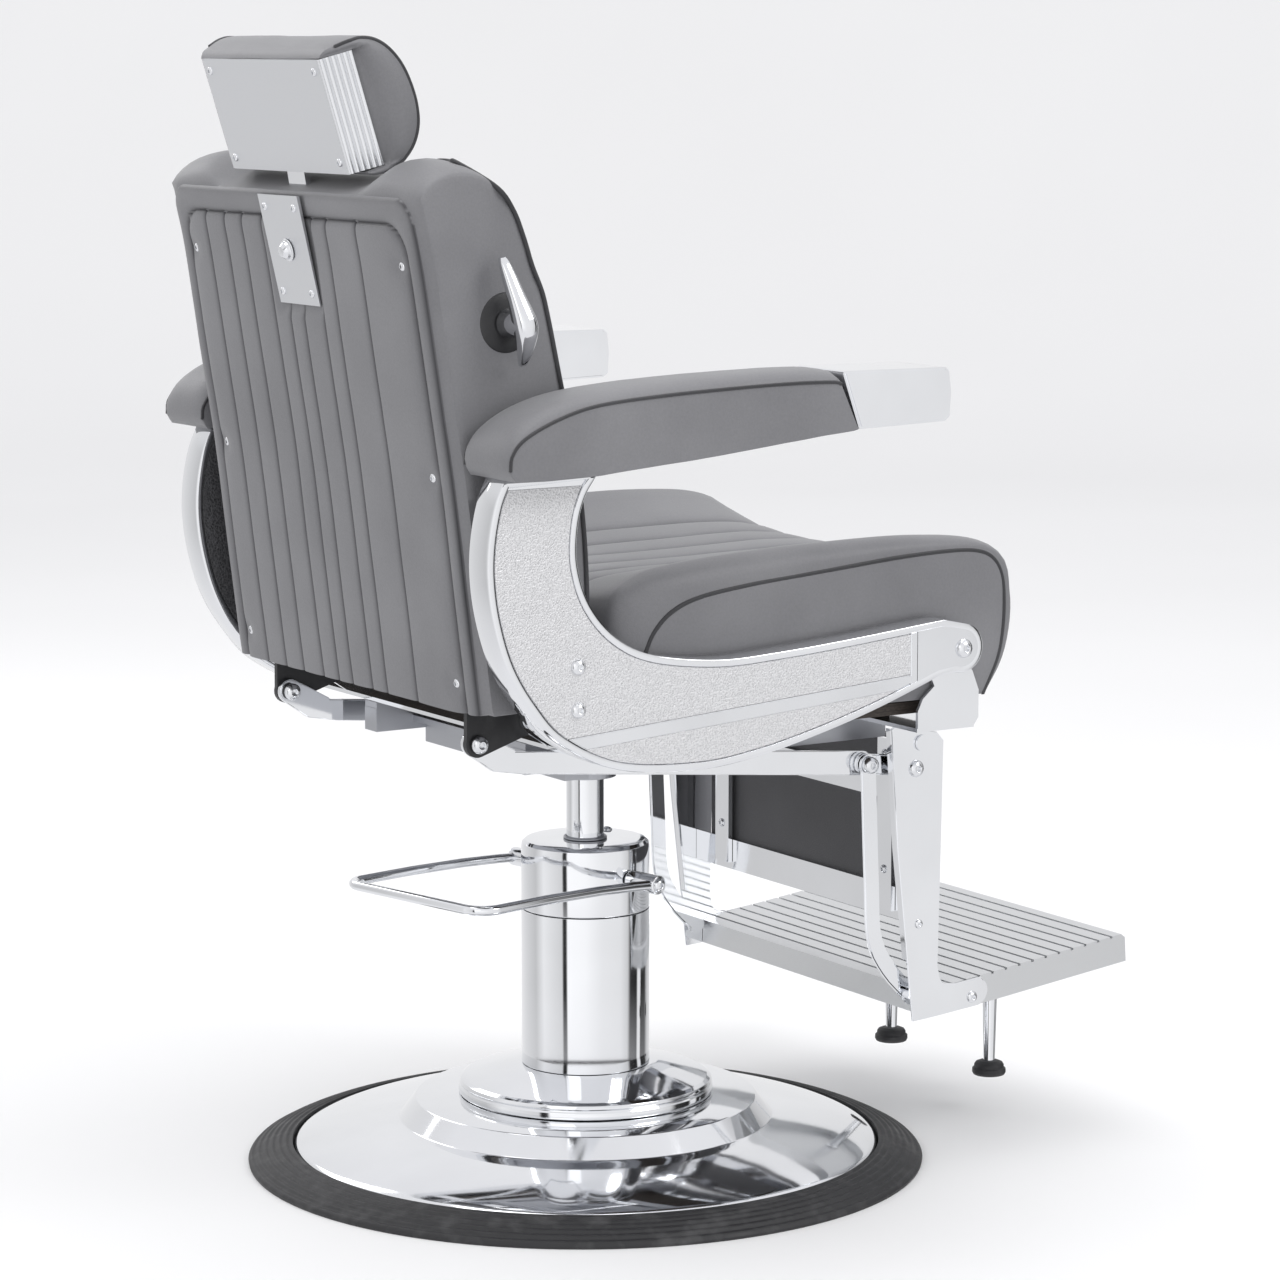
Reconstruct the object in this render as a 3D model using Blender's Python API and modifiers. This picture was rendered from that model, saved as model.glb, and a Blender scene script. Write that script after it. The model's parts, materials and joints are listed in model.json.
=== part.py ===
"""Hydraulic barber chair: pump base, lifting ram, swivelling seat, reclining back coupled to a swinging legrest.

Metres, +Z up. The chair faces -Y, the sitter's right is -X, and the origin is on the floor on the pump's axis.
"""

from math import cos, pi, radians, sin

import bmesh
import bpy
from mathutils import Matrix, Vector

# Driving dimensions
GAP = 0.0003
BASE_RADIUS = 0.350
DOME_RADIUS = 0.3032
TIER_RADIUS = 0.1955
FLANGE_RADIUS = 0.1318
PUMP_RADIUS = 0.0662
PUMP_WALL = 0.0022
RAM_RADIUS = 0.0194
PUMP_FOOT_Z = 0.0998
PUMP_SPLIT_Z = 0.2625
PUMP_TOP_Z = 0.3347
PEDAL_TURN = radians(12.3)
PEDAL_Z = 0.300
PEDAL_REACH = 0.238
PEDAL_HALF = 0.102
ROD_RADIUS = 0.005

ARM_IN = 0.283
ARM_OUT = 0.320
PAD_IN = 0.272
PAD_OUT = 0.357
SEAT_HALF = 0.262
BACK_HALF = 0.258
PANEL_HALF = 0.2262

BACK_PIVOT = (0.1836, 0.5012)
LEG_PIVOT = (-0.270, 0.440)
CRANK = (0.058, -0.019)
RAIL_REAR = (BACK_PIVOT[0] + CRANK[0], BACK_PIVOT[1] + CRANK[1])
RAIL_FRONT = (LEG_PIVOT[0] + CRANK[0], LEG_PIVOT[1] + CRANK[1])
LEVER_BOLT = (-0.263, 0.414)
BRACE_FOOT = (-0.268, 0.176)

RAIL_X = (0.1870, 0.1930)
LEVER_X = (0.1935, 0.1995)
BRACE_X = (0.2000, 0.2045)
HANGER_X = (0.2035, 0.2100)
SIDE_X = (0.2125, 0.2155)
FOOT_HALF = 0.2120

HANDLE_AXIS = (0.244, 0.888)
HEAD_FOOT = Vector((0.0, 0.3319, 1.022))
HEAD_UP = Vector((0.0, 0.2970, 0.9549))
HEAD_OUT = Vector((0.0, -0.9549, 0.2970))
HEAD_PIVOT = (0.3194, 1.0383)
POST_TOP = (0.3220, 1.015)
POST_SLOPE = 0.175


def start():
    for obj in list(bpy.data.objects):
        bpy.data.objects.remove(obj, do_unlink=True)
    made = []
    for name in ("barber_chair", "cutters"):
        collection = bpy.data.collections.new(name)
        bpy.context.scene.collection.children.link(collection)
        made.append(collection)
    return made


CHAIR, CUTTERS = start()


def material(name, colour, roughness, metallic):
    made = bpy.data.materials.new(name)
    made.use_nodes = True
    shader = made.node_tree.nodes["Principled BSDF"]
    shader.inputs["Base Color"].default_value = (*colour, 1.0)
    shader.inputs["Roughness"].default_value = roughness
    shader.inputs["Metallic"].default_value = metallic
    made.diffuse_color = (*colour, 1.0)
    return made


CHROME = material("chrome", (0.80, 0.81, 0.83), 0.06, 1.0)
SATIN = material("satin_aluminium", (0.66, 0.67, 0.69), 0.32, 1.0)
STEEL = material("zinc_steel", (0.52, 0.53, 0.55), 0.35, 1.0)
BLACK_STEEL = material("black_steel", (0.03, 0.03, 0.032), 0.40, 0.6)
TEXTURED_BLACK = material("textured_black_panel", (0.05, 0.05, 0.055), 0.70, 0.1)
RUBBER = material("black_rubber", (0.02, 0.02, 0.022), 0.65, 0.0)
LEATHER = material("grey_leatherette", (0.27, 0.27, 0.285), 0.50, 0.0)
CHARCOAL = material("charcoal_backing", (0.10, 0.10, 0.11), 0.60, 0.0)
PLYWOOD = material("plywood", (0.42, 0.30, 0.18), 0.65, 0.0)


# Shapes


def place(obj, finish, collection=CHAIR):
    collection.objects.link(obj)
    if finish:
        obj.data.materials.append(finish)
    return obj


def as_cutter(obj):
    obj.hide_render = True
    obj.display_type = "WIRE"
    return obj


def from_bmesh(name, bm, finish, collection=CHAIR, smooth=True):
    mesh = bpy.data.meshes.new(name)
    bmesh.ops.recalc_face_normals(bm, faces=bm.faces)
    bm.to_mesh(mesh)
    bm.free()
    if smooth:
        mesh.shade_smooth()
        mesh.set_sharp_from_angle(angle=radians(35))
    return place(bpy.data.objects.new(name, mesh), finish, collection)


def block(name, low, high, finish, bevel=0.0, collection=CHAIR):
    """A box between two corners, its edges rounded by bevel."""
    bm = bmesh.new()
    bmesh.ops.create_cube(bm, size=1.0)
    size = [high[i] - low[i] for i in range(3)]
    bmesh.ops.scale(bm, vec=size, verts=bm.verts)
    obj = from_bmesh(name, bm, finish, collection)
    obj.location = [(high[i] + low[i]) / 2 for i in range(3)]
    if bevel:
        rounding = obj.modifiers.new("rounding", "BEVEL")
        rounding.width = bevel
        rounding.segments = 2
    return obj


def rod(name, start_at, end_at, radius, finish, sides=20, collection=CHAIR):
    """A straight round bar between two points."""
    start_at, end_at = Vector(start_at), Vector(end_at)
    along = end_at - start_at
    bm = bmesh.new()
    bmesh.ops.create_cone(
        bm, cap_ends=True, segments=sides, radius1=radius, radius2=radius, depth=along.length
    )
    obj = from_bmesh(name, bm, finish, collection)
    obj.rotation_euler = along.to_track_quat("Z", "Y").to_euler()
    obj.location = (start_at + end_at) / 2
    return obj


def turned(name, profile, finish, steps=48, closed=True, wall=0.0, collection=CHAIR):
    """A profile of (radius, height) turned about Z; its outer side runs from top to bottom."""
    mesh = bpy.data.meshes.new(name)
    edges = [(i, i + 1) for i in range(len(profile) - 1)]
    if closed:
        edges.append((len(profile) - 1, 0))
    mesh.from_pydata([(r, 0.0, z) for r, z in profile], edges, [])
    obj = place(bpy.data.objects.new(name, mesh), finish, collection)
    screw = obj.modifiers.new("turn", "SCREW")
    screw.steps = steps
    screw.render_steps = steps
    screw.use_merge_vertices = True
    screw.merge_threshold = 0.00005
    screw.use_smooth_shade = True
    if wall:
        shell = obj.modifiers.new("shell", "SOLIDIFY")
        shell.thickness = wall
        shell.offset = -1.0
        shell.use_even_offset = True
    return obj


def sheet(name, outline, x_from, x_to, finish, collection=CHAIR, bevel=0.0):
    """A flat outline of (y, z) points, as thick as the distance from x_from to x_to."""
    curve = bpy.data.curves.new(name, "CURVE")
    curve.dimensions = "2D"
    curve.fill_mode = "BOTH"
    curve.extrude = abs(x_to - x_from) / 2
    spline = curve.splines.new("POLY")
    spline.points.add(len(outline) - 1)
    for point, (y, z) in zip(spline.points, outline):
        point.co = (y, z, 0.0, 1.0)
    spline.use_cyclic_u = True
    obj = place(bpy.data.objects.new(name, curve), None, collection)
    obj.rotation_euler = (pi / 2, 0.0, pi / 2)
    obj.location = ((x_from + x_to) / 2, 0.0, 0.0)
    return to_mesh(obj, finish, bevel)


def to_mesh(obj, finish, bevel=0.0):
    """The curve made a mesh with its caps welded, in the same place."""
    bpy.context.view_layer.update()
    graph = bpy.context.evaluated_depsgraph_get()
    mesh = bpy.data.meshes.new_from_object(obj.evaluated_get(graph))
    bm = bmesh.new()
    bm.from_mesh(mesh)
    bmesh.ops.remove_doubles(bm, verts=bm.verts, dist=0.00001)
    bmesh.ops.dissolve_limit(bm, angle_limit=0.0002, verts=bm.verts, edges=bm.edges)
    bmesh.ops.recalc_face_normals(bm, faces=bm.faces)
    bm.to_mesh(mesh)
    bm.free()
    name, collection = obj.name, obj.users_collection[0]
    made_at = obj.matrix_world.copy()
    bpy.data.objects.remove(obj, do_unlink=True)
    solid = bpy.data.objects.new(name, mesh)
    solid.matrix_world = made_at
    mesh.materials.clear()
    place(solid, finish, collection)
    if bevel:
        rounding = solid.modifiers.new("rounding", "BEVEL")
        rounding.width = bevel
        rounding.segments = 2
        rounding.limit_method = "ANGLE"
        rounding.angle_limit = radians(40)
    return solid


def tube(name, points, radius, finish, collection=CHAIR):
    """A round rod along a polyline, as a mesh."""
    curve = bpy.data.curves.new(name, "CURVE")
    curve.dimensions = "3D"
    curve.bevel_depth = radius
    curve.bevel_resolution = 2
    curve.use_fill_caps = True
    spline = curve.splines.new("POLY")
    spline.points.add(len(points) - 1)
    for point, place_at in zip(spline.points, points):
        point.co = (*place_at, 1.0)
    return to_mesh(place(bpy.data.objects.new(name, curve), None, collection), finish)


def combine(obj, other, operation):
    step = obj.modifiers.new(other.name, "BOOLEAN")
    step.operation = operation
    step.object = as_cutter(other)
    step.solver = "EXACT"
    return obj


def join(obj, *others):
    for other in others:
        combine(obj, other, "UNION")
    return obj


def cut(obj, *others):
    for other in others:
        combine(obj, other, "DIFFERENCE")
    return obj


# Outlines in (y, z)


def arc(centre, radius, start_deg, end_deg, count):
    """Points on a circle about a (y, z) centre, from one angle to the other."""
    span = [start_deg + (end_deg - start_deg) * i / count for i in range(count + 1)]
    return [(centre[0] + radius * cos(radians(a)), centre[1] + radius * sin(radians(a))) for a in span]


def capsule(first, second, radius, count=6):
    """A bar with round ends about two (y, z) points."""
    along = Vector(second) - Vector(first)
    turn = along.angle_signed(Vector((1.0, 0.0))) * 180 / pi
    return arc(second, radius, turn - 90, turn + 90, count) + arc(first, radius, turn + 90, turn + 270, count)


def smooth(points, per_span=4):
    """A curve through the points (Catmull-Rom), open at both ends."""
    found = []
    for i in range(len(points) - 1):
        before = Vector(points[max(i - 1, 0)])
        a, b = Vector(points[i]), Vector(points[i + 1])
        after = Vector(points[min(i + 2, len(points) - 1)])
        for step in range(per_span):
            t = step / per_span
            found.append(
                0.5 * (2 * a + (b - before) * t + (2 * before - 5 * a + 4 * b - after) * t**2
                       + (3 * a - before - 3 * b + after) * t**3)
            )
    found.append(Vector(points[-1]))
    return [tuple(p) for p in found]


def inset(outline, distance):
    """The closed outline with every edge moved inwards by a distance."""
    count = len(outline)
    area = sum(
        outline[i][0] * outline[(i + 1) % count][1] - outline[(i + 1) % count][0] * outline[i][1]
        for i in range(count)
    )
    side = distance if area > 0 else -distance
    moved = []
    for i, point in enumerate(outline):
        before = (Vector(point) - Vector(outline[i - 1])).normalized()
        after = (Vector(outline[(i + 1) % count]) - Vector(point)).normalized()
        reach = side / (1.0 + before.dot(after))
        moved.append((point[0] - (before.y + after.y) * reach, point[1] + (before.x + after.x) * reach))
    return moved


def band(path, half_width):
    """A bar of even width along a path of (y, z) points."""
    left, right = [], []
    for i, point in enumerate(path):
        before, after = Vector(path[max(i - 1, 0)]), Vector(path[min(i + 1, len(path) - 1)])
        along = (after - before).normalized()
        left.append((point[0] - along.y * half_width, point[1] + along.x * half_width))
        right.append((point[0] + along.y * half_width, point[1] - along.x * half_width))
    return left + right[::-1]


def sides():
    """The sitter's right is -X and the left is +X."""
    return (("right", -1), ("left", 1))


def pin_bore(name, at, x_from, x_to, radius, sign=1):
    return rod(name, (sign * x_from, *at), (sign * x_to, *at), radius, None, 16, CUTTERS)


# Base and pump


def base():
    ring = [(DOME_RADIUS + 0.0008, 0.0205), (0.318, 0.0188), (0.338, 0.0128), (0.3475, 0.0068),
            (BASE_RADIUS, 0.0030), (0.349, 0.0), (DOME_RADIUS + 0.0008, 0.0)]
    turned("rubber_base_ring", ring, RUBBER, steps=56)
    plate_radius = DOME_RADIUS + 0.0004
    rod("base_plate", (0, 0, 0), (0, 0, 0.0060), plate_radius, STEEL, sides=56)
    dome = [(0.0600, 0.0695), (FLANGE_RADIUS, 0.0680), (0.172, 0.0645), (0.186, 0.0590), (TIER_RADIUS, 0.0470),
            (0.204, 0.0430), (0.250, 0.0350), (0.292, 0.0245), (DOME_RADIUS - 0.0012, 0.0195), (DOME_RADIUS, 0.0064)]
    turned("base_dome", dome, CHROME, closed=False, wall=0.0018)
    flange = [(0.0580, PUMP_FOOT_Z - GAP), (0.0690, PUMP_FOOT_Z - GAP), (0.124, 0.0862), (0.1300, 0.0838),
              (FLANGE_RADIUS, 0.0800), (FLANGE_RADIUS, 0.0700)]
    turned("flange_cover", flange, CHROME, closed=False, wall=0.0015)


def pump_shells():
    inner = PUMP_RADIUS - PUMP_WALL
    foot, top = PUMP_FOOT_Z, PUMP_SPLIT_Z - GAP
    turned("pump_cover", [(PUMP_RADIUS, top), (PUMP_RADIUS, foot), (inner, foot), (inner, top)], CHROME)
    wall = PUMP_RADIUS - 0.0050
    hole = RAM_RADIUS + 0.0018
    head = [(hole, PUMP_TOP_Z), (0.0590, PUMP_TOP_Z), (0.0640, 0.3325), (PUMP_RADIUS, 0.3275),
            (PUMP_RADIUS, PUMP_SPLIT_Z + GAP), (wall, PUMP_SPLIT_Z + GAP), (wall, 0.3265), (hole, 0.3265)]
    shell = turned("pump_head", head, CHROME)
    across = pedal_axis() * (PUMP_RADIUS + 0.01)
    middle = Vector((0, 0, PEDAL_Z))
    cut(shell, rod("cut_pump_head", middle - across, middle + across, 0.0064, None, 16, CUTTERS))


def pump_inside():
    bore, wall = 0.0300, 0.0360
    cylinder = [(0.0, 0.0200), (bore, 0.0200), (bore, 0.2995), (wall, 0.2995), (wall, 0.0240),
                (0.0550, 0.0200), (0.0550, 0.0064), (0.0, 0.0064)]
    turned("pump_cylinder", cylinder, STEEL, steps=40, closed=False)
    lip = RAM_RADIUS + GAP
    gland = [(lip, 0.3385), (lip + 0.0012, 0.3385), (lip + 0.0012, 0.3262), (wall, 0.3262), (wall, 0.3000),
             (lip, 0.3000)]
    turned("gland_ring", gland, CHROME, steps=40)
    ring_in, ring_out = wall + GAP, 0.0608
    valve = [(ring_out, 0.2450), (ring_out, 0.2150), (ring_in, 0.2150), (ring_in, 0.2450)]
    body = turned("pump_valve_block", valve, STEEL, steps=40)
    foot = plunger_place()
    cut(body, rod("cut_valve", foot + Vector((0, 0, 0.20)), foot + Vector((0, 0, 0.26)), 0.0055, None, 16, CUTTERS))


def ram():
    profile = [(0.0, 0.4470), (0.0175, 0.4470), (RAM_RADIUS, 0.4445), (RAM_RADIUS, 0.1650), (0.0296, 0.1650),
               (0.0296, 0.1500), (0.0, 0.1500)]
    turned("ram", profile, CHROME, steps=40, closed=False)


# Pedal


def pedal_axis():
    return Vector((cos(PEDAL_TURN), sin(PEDAL_TURN), 0.0))


def pedal_way():
    return Vector((-sin(PEDAL_TURN), cos(PEDAL_TURN), 0.0))


def pedal_point(across, out, up):
    return pedal_axis() * across + pedal_way() * out + Vector((0, 0, PEDAL_Z + up))


def plunger_place():
    return pedal_axis() * -0.0485 + pedal_way() * 0.0100


def pedal():
    bend = 0.020
    half, reach = PEDAL_HALF, PEDAL_REACH
    path = [pedal_point(-half, 0.0, 0.0), pedal_point(-half, 0.030, 0.003)]
    for i in range(7):
        turn = radians(90 * i / 6)
        path.append(pedal_point(-half + bend * (1 - cos(turn)), reach - bend + bend * sin(turn), 0.006))
    for i in range(7):
        turn = radians(90 * i / 6)
        path.append(pedal_point(half - bend + bend * sin(turn), reach - bend + bend * cos(turn), 0.006))
    path += [pedal_point(half, 0.030, 0.003), pedal_point(half, 0.0, 0.0)]
    bar = tube("pedal_bar", path, ROD_RADIUS, CHROME)
    inner, outer = PUMP_RADIUS + 0.0015, 0.1080
    for side, sign in sides():
        socket = rod(f"join_socket_{side}", pedal_point(sign * inner, 0, 0), pedal_point(sign * outer, 0, 0),
                     0.0098, None, 20, CUTTERS)
        join(bar, socket)
    ends = pedal_point(-0.12, 0, 0), pedal_point(0.12, 0, 0)
    cut(bar, rod("cut_pedal_bar", *ends, 0.0063, None, 16, CUTTERS))
    pedal_pins()


def pedal_pins():
    for side, sign in sides():
        pin = rod(f"pedal_pin_{side}", pedal_point(sign * 0.0435, 0, 0), pedal_point(sign * 0.1072, 0, 0),
                  0.0060, STEEL, 16)
        if side == "right":
            cam = rod("join_cam", pedal_point(-0.0435, 0.0100, 0), pedal_point(-0.0535, 0.0100, 0),
                      0.0070, None, 16, CUTTERS)
            join(pin, cam)


def plunger():
    foot = plunger_place()
    top = PEDAL_Z - 0.0070 - GAP
    body = rod("pump_plunger", foot + Vector((0, 0, 0.205)), foot + Vector((0, 0, top)), 0.0050, STEEL, 16)
    head = rod("join_plunger_head", foot + Vector((0, 0, top - 0.006)), foot + Vector((0, 0, top)),
               0.0092, None, 16, CUTTERS)
    join(body, head)
    turns, per_turn, low, high = 4, 10, 0.2540, 0.2840
    coil = []
    for i in range(turns * per_turn + 1):
        angle = 2 * pi * i / per_turn
        up = low + (high - low) * i / (turns * per_turn)
        coil.append(foot + Vector((0.0072 * cos(angle), 0.0072 * sin(angle), up)))
    tube("plunger_spring", coil, 0.0009, STEEL)


# Seat structure


def swivel_socket():
    profile = [(RAM_RADIUS + GAP, 0.4480), (0.0750, 0.4480), (0.0750, 0.4420), (0.0360, 0.4420), (0.0320, 0.4000),
               (RAM_RADIUS + GAP, 0.4000)]
    turned("swivel_socket", profile, STEEL, steps=40)


def seat_frame():
    frame = block("seat_frame", (-0.150, -0.125, 0.4483), (0.150, 0.125, 0.4543), STEEL)
    for name, y in (("front", -0.095), ("rear", 0.095)):
        join(frame, block(f"join_tube_{name}", (-0.140, y - 0.014, 0.4250), (0.140, y + 0.014, 0.4495),
                          None, collection=CUTTERS))
    for side, sign in sides():
        x_from, x_to = sorted((sign * 0.138, sign * 0.163))
        join(frame, block(f"join_beam_{side}", (x_from, -0.262, 0.4400), (x_to, 0.168, 0.4642),
                          None, collection=CUTTERS))
        join(frame, block(f"join_pad_{side}", (x_from, 0.130, 0.4600), (x_to, 0.1675, 0.4709),
                          None, collection=CUTTERS))


def front_bracket():
    """A cross plate with a fan-shaped ear up to each arm and a lug down to each legrest pivot."""
    low, high = 0.4645, 0.4685
    plate = block("front_seat_bracket", (-0.2818, -0.286, low), (0.2818, -0.2155, high), CHROME)
    inside = low + 0.0015
    fan = [(-0.216, inside), (-0.285, inside), (-0.291, 0.474), (-0.291, 0.502), (-0.283, 0.522), (-0.268, 0.540),
           (-0.262, 0.556), (-0.244, 0.570), (-0.228, 0.560), (-0.226, 0.532), (-0.236, 0.510), (-0.222, 0.498),
           (-0.216, 0.486)]
    lug = [(LEG_PIVOT[0] + 0.014, low + 0.002), (LEG_PIVOT[0] - 0.014, low + 0.002)]
    lug += arc(LEG_PIVOT, 0.014, 180, 360, 8)
    for side, sign in sides():
        ear = sheet(f"join_fan_{side}", fan, sign * 0.2788, sign * 0.2825, None, CUTTERS)
        hanger = sheet(f"join_hanger_{side}", lug, sign * HANGER_X[0], sign * HANGER_X[1], None, CUTTERS)
        join(plate, ear, hanger)
    cut(plate, pin_bore("cut_leg_pivot", LEG_PIVOT, -0.25, 0.25, 0.0058))


def rear_bracket():
    """A cross plate with an ear up to each arm and a lug back to each hinge pin."""
    low, high = 0.4712, 0.4752
    plate = block("rear_seat_bracket", (-0.2818, 0.1285, low), (0.2818, 0.1665, high), CHROME)
    inside = low + 0.0015
    ear = [(0.130, inside), (0.172, inside), (0.222, 0.505), (0.222, 0.585), (0.182, 0.585), (0.150, 0.520),
           (0.130, 0.490)]
    lug = [(0.134, inside), (0.164, inside)] + arc(BACK_PIVOT, 0.013, -60, 140, 8)
    for side, sign in sides():
        join(plate, sheet(f"join_ear_{side}", ear, sign * 0.2788, sign * 0.2825, None, CUTTERS),
             sheet(f"join_lug_{side}", lug, sign * 0.2002, sign * 0.2062, None, CUTTERS))
    cut(plate, pin_bore("cut_back_pivot", BACK_PIVOT, -0.22, 0.22, 0.0058))


def hinge_pins():
    for side, sign in sides():
        pin = rod(f"back_hinge_pin_{side}", (sign * 0.1932, *BACK_PIVOT), (sign * 0.2070, *BACK_PIVOT),
                  0.0055, STEEL, 16)
        for end, (a, b) in (("in", (0.1895, 0.1932)), ("out", (0.2066, 0.2110))):
            join(pin, rod(f"join_hinge_{end}_{side}", (sign * a, *BACK_PIVOT), (sign * b, *BACK_PIVOT),
                          0.0090, None, 16, CUTTERS))
        pin = rod(f"legrest_pivot_pin_{side}", (sign * 0.2028, *LEG_PIVOT), (sign * 0.2162, *LEG_PIVOT),
                  0.0055, CHROME, 16)
        for end, (a, b) in (("in", (0.1998, 0.2031)), ("out", (0.2159, 0.2190))):
            join(pin, rod(f"join_leg_{end}_{side}", (sign * a, *LEG_PIVOT), (sign * b, *LEG_PIVOT),
                          0.0085, None, 16, CUTTERS))


def seat_soft():
    board = block("seat_board", (-SEAT_HALF + 0.004, -0.285, 0.4800), (SEAT_HALF - 0.004, 0.122, 0.4920), PLYWOOD)
    for side, sign in sides():
        x_from, x_to = sorted((sign * 0.130, sign * 0.170))
        join(board, block(f"join_front_block_{side}", (x_from, -0.262, 0.4688), (x_to, -0.222, 0.4810),
                          None, collection=CUTTERS))
        join(board, block(f"join_rear_block_{side}", (x_from, 0.0900, 0.4648), (x_to, 0.1200, 0.4810),
                          None, collection=CUTTERS))
    front = smooth([(-0.292, 0.4935), (-0.316, 0.522), (-0.327, 0.565), (-0.319, 0.608), (-0.289, 0.640),
                    (-0.230, 0.657), (-0.130, 0.664), (0.000, 0.661), (0.090, 0.654), (0.135, 0.640)], 2)
    sheet("seat_cushion", front + [(0.135, 0.4935)], -SEAT_HALF - 0.010, SEAT_HALF + 0.010, LEATHER, bevel=0.022)


# Arms


def arm_outline():
    outer = [(0.281, 0.7485), (0.296, 0.700), (0.296, 0.640), (0.279, 0.572), (0.221, 0.497), (0.157, 0.467),
             (0.067, 0.459), (-0.002, 0.466), (-0.072, 0.481), (-0.143, 0.501), (-0.215, 0.526)]
    tip = arc((-0.243, 0.5525), 0.0250, -70, -270, 8)
    inner = [(-0.220, 0.584), (-0.106, 0.572), (-0.024, 0.566), (0.045, 0.564), (0.118, 0.574), (0.168, 0.602),
             (0.197, 0.648), (0.203, 0.690)]
    return smooth(outer, 2) + tip + smooth(inner, 2) + [(0.180, 0.7485)]


def arm_frames():
    outline = arm_outline()
    pocket = inset(outline, 0.0075)
    panel = inset(outline, 0.0085)
    for side, sign in sides():
        frame = sheet(f"arm_frame_{side}", outline, sign * ARM_IN, sign * ARM_OUT, CHROME)
        inner = sheet(f"cut_inner_{side}", pocket, sign * (ARM_IN - 0.002), sign * (ARM_IN + 0.0025), None, CUTTERS)
        outer = sheet(f"cut_outer_{side}", pocket, sign * (ARM_OUT - 0.0020), sign * (ARM_OUT + 0.002),
                      None, CUTTERS)
        cut(frame, inner, outer)
        for step in frame.modifiers:
            step.use_self = True
        sheet(f"arm_inner_panel_{side}", panel, sign * (ARM_IN + 0.0002), sign * (ARM_IN + 0.0022),
              TEXTURED_BLACK)


def arm_pads():
    pad = [(0.292, 0.7490 + 0.0012), (0.202, 0.7512), (-0.0900, 0.7795), (-0.0700, 0.8360), (-0.0310, 0.8380)]
    pad += smooth([(0.190, 0.8290), (0.226, 0.8250), (0.258, 0.8150), (0.280, 0.7930), (0.296, 0.7640)], 2)
    tip = [(-0.0905, 0.7795), (-0.1920, 0.7830), (-0.1870, 0.8350), (-0.0705, 0.8360)]
    tip = [(y - 0.0008, z) for y, z in tip]
    for side, sign in sides():
        sheet(f"arm_pad_{side}", pad, sign * PAD_IN, sign * PAD_OUT, LEATHER, bevel=0.002)
        sheet(f"arm_tip_{side}", tip, sign * (PAD_IN + 0.001), sign * (PAD_OUT - 0.001), CHROME, bevel=0.0025)


# Back


def rear_face(depth=0.0):
    """The back's rear face in (y, z) from bottom to top, moved forwards by a depth."""
    face = [(0.2670, 0.518), (0.2707, 0.546), (0.2948, 0.742), (0.3257, 0.940), (0.3390, 1.0005)]
    return [(y - depth, z) for y, z in face]


def strip_between(depth_from, depth_to):
    return rear_face(depth_from) + rear_face(depth_to)[::-1]


def post_line(z):
    return POST_TOP[0] + POST_SLOPE * (z - POST_TOP[1])


def post_outline(half, low, high):
    return [(post_line(low) - half, low), (post_line(low) + half, low), (post_line(high) + half, high),
            (post_line(high) - half, high)]


def back_frame():
    """The back's board with a bracket down each side to the hinge and to the push rail."""
    board = sheet("back_frame", strip_between(0.0128, 0.0258), -0.224, 0.224, BLACK_STEEL)
    cut(board, sheet("cut_post_slot", post_outline(0.0040, 0.790, 1.06), -0.0182, 0.0182, None, CUTTERS))
    y_low, z_low = BACK_PIVOT
    bracket = [(0.2530, 0.600), (0.2450, 0.600), (0.2390, 0.530)]
    bracket += arc(BACK_PIVOT, 0.013, 90, 250, 8) + arc(RAIL_REAR, 0.0130, 250, 380, 8)
    for side, sign in sides():
        plate = sheet(f"join_bracket_{side}", bracket, sign * LEVER_X[0], sign * LEVER_X[1], None, CUTTERS)
        join(board, plate)
    cut(board, pin_bore("cut_back_hinge", (y_low, z_low), -0.22, 0.22, 0.0058))
    for side, sign in sides():
        stud = rod(f"join_stud_{side}", (sign * 0.1830, *RAIL_REAR), (sign * 0.2030, *RAIL_REAR), 0.0050, None,
                   16, CUTTERS)
        head = rod(f"join_stud_head_{side}", (sign * 0.1820, *RAIL_REAR), (sign * 0.1865, *RAIL_REAR), 0.0085,
                   None, 16, CUTTERS)
        nut = rod(f"join_stud_nut_{side}", (sign * 0.1990, *RAIL_REAR), (sign * 0.2040, *RAIL_REAR), 0.0085,
                  None, 6, CUTTERS)
        join(board, stud, head, nut)


def back_soft():
    front = smooth([(0.150, 0.5200), (0.143, 0.600), (0.150, 0.700), (0.180, 0.827), (0.199, 0.907), (0.211, 0.949),
                    (0.229, 0.996), (0.250, 1.026), (0.278, 1.039), (0.315, 1.041), (0.345, 1.026)], 2)
    rear = [(y + 0.004, z) for y, z in rear_face()][::-1]
    rear[0] = (0.350, 1.006)
    pad = sheet("back_cushion", front + rear, -BACK_HALF, BACK_HALF, LEATHER, bevel=0.010)
    recess = rear_face(0.0262) + [(0.340 - 0.0262 + 0.0005, 1.0040), (0.40, 1.0040), (0.40, 0.48), (0.262 - 0.0262, 0.48)]
    cut(pad, sheet("cut_recess", recess, -PANEL_HALF - 0.0023, PANEL_HALF + 0.0023, None, CUTTERS))
    cut(pad, sheet("cut_post_way", post_outline(0.0070, 0.98, 1.08), -0.0210, 0.0210, None, CUTTERS))
    cut(pad, block("cut_scoop", (-0.152, 0.10, 1.0095), (0.152, 0.42, 1.10), None, collection=CUTTERS))
    for side, sign in sides():
        x_from, x_to = sorted((sign * 0.1915, sign * 0.2015))
        cut(pad, block(f"cut_bracket_way_{side}", (x_from, 0.16, 0.49), (x_to, 0.28, 0.604), None,
                       collection=CUTTERS))
    sheet("back_panel", strip_between(0.0, 0.0125), -PANEL_HALF, PANEL_HALF, LEATHER)


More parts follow.
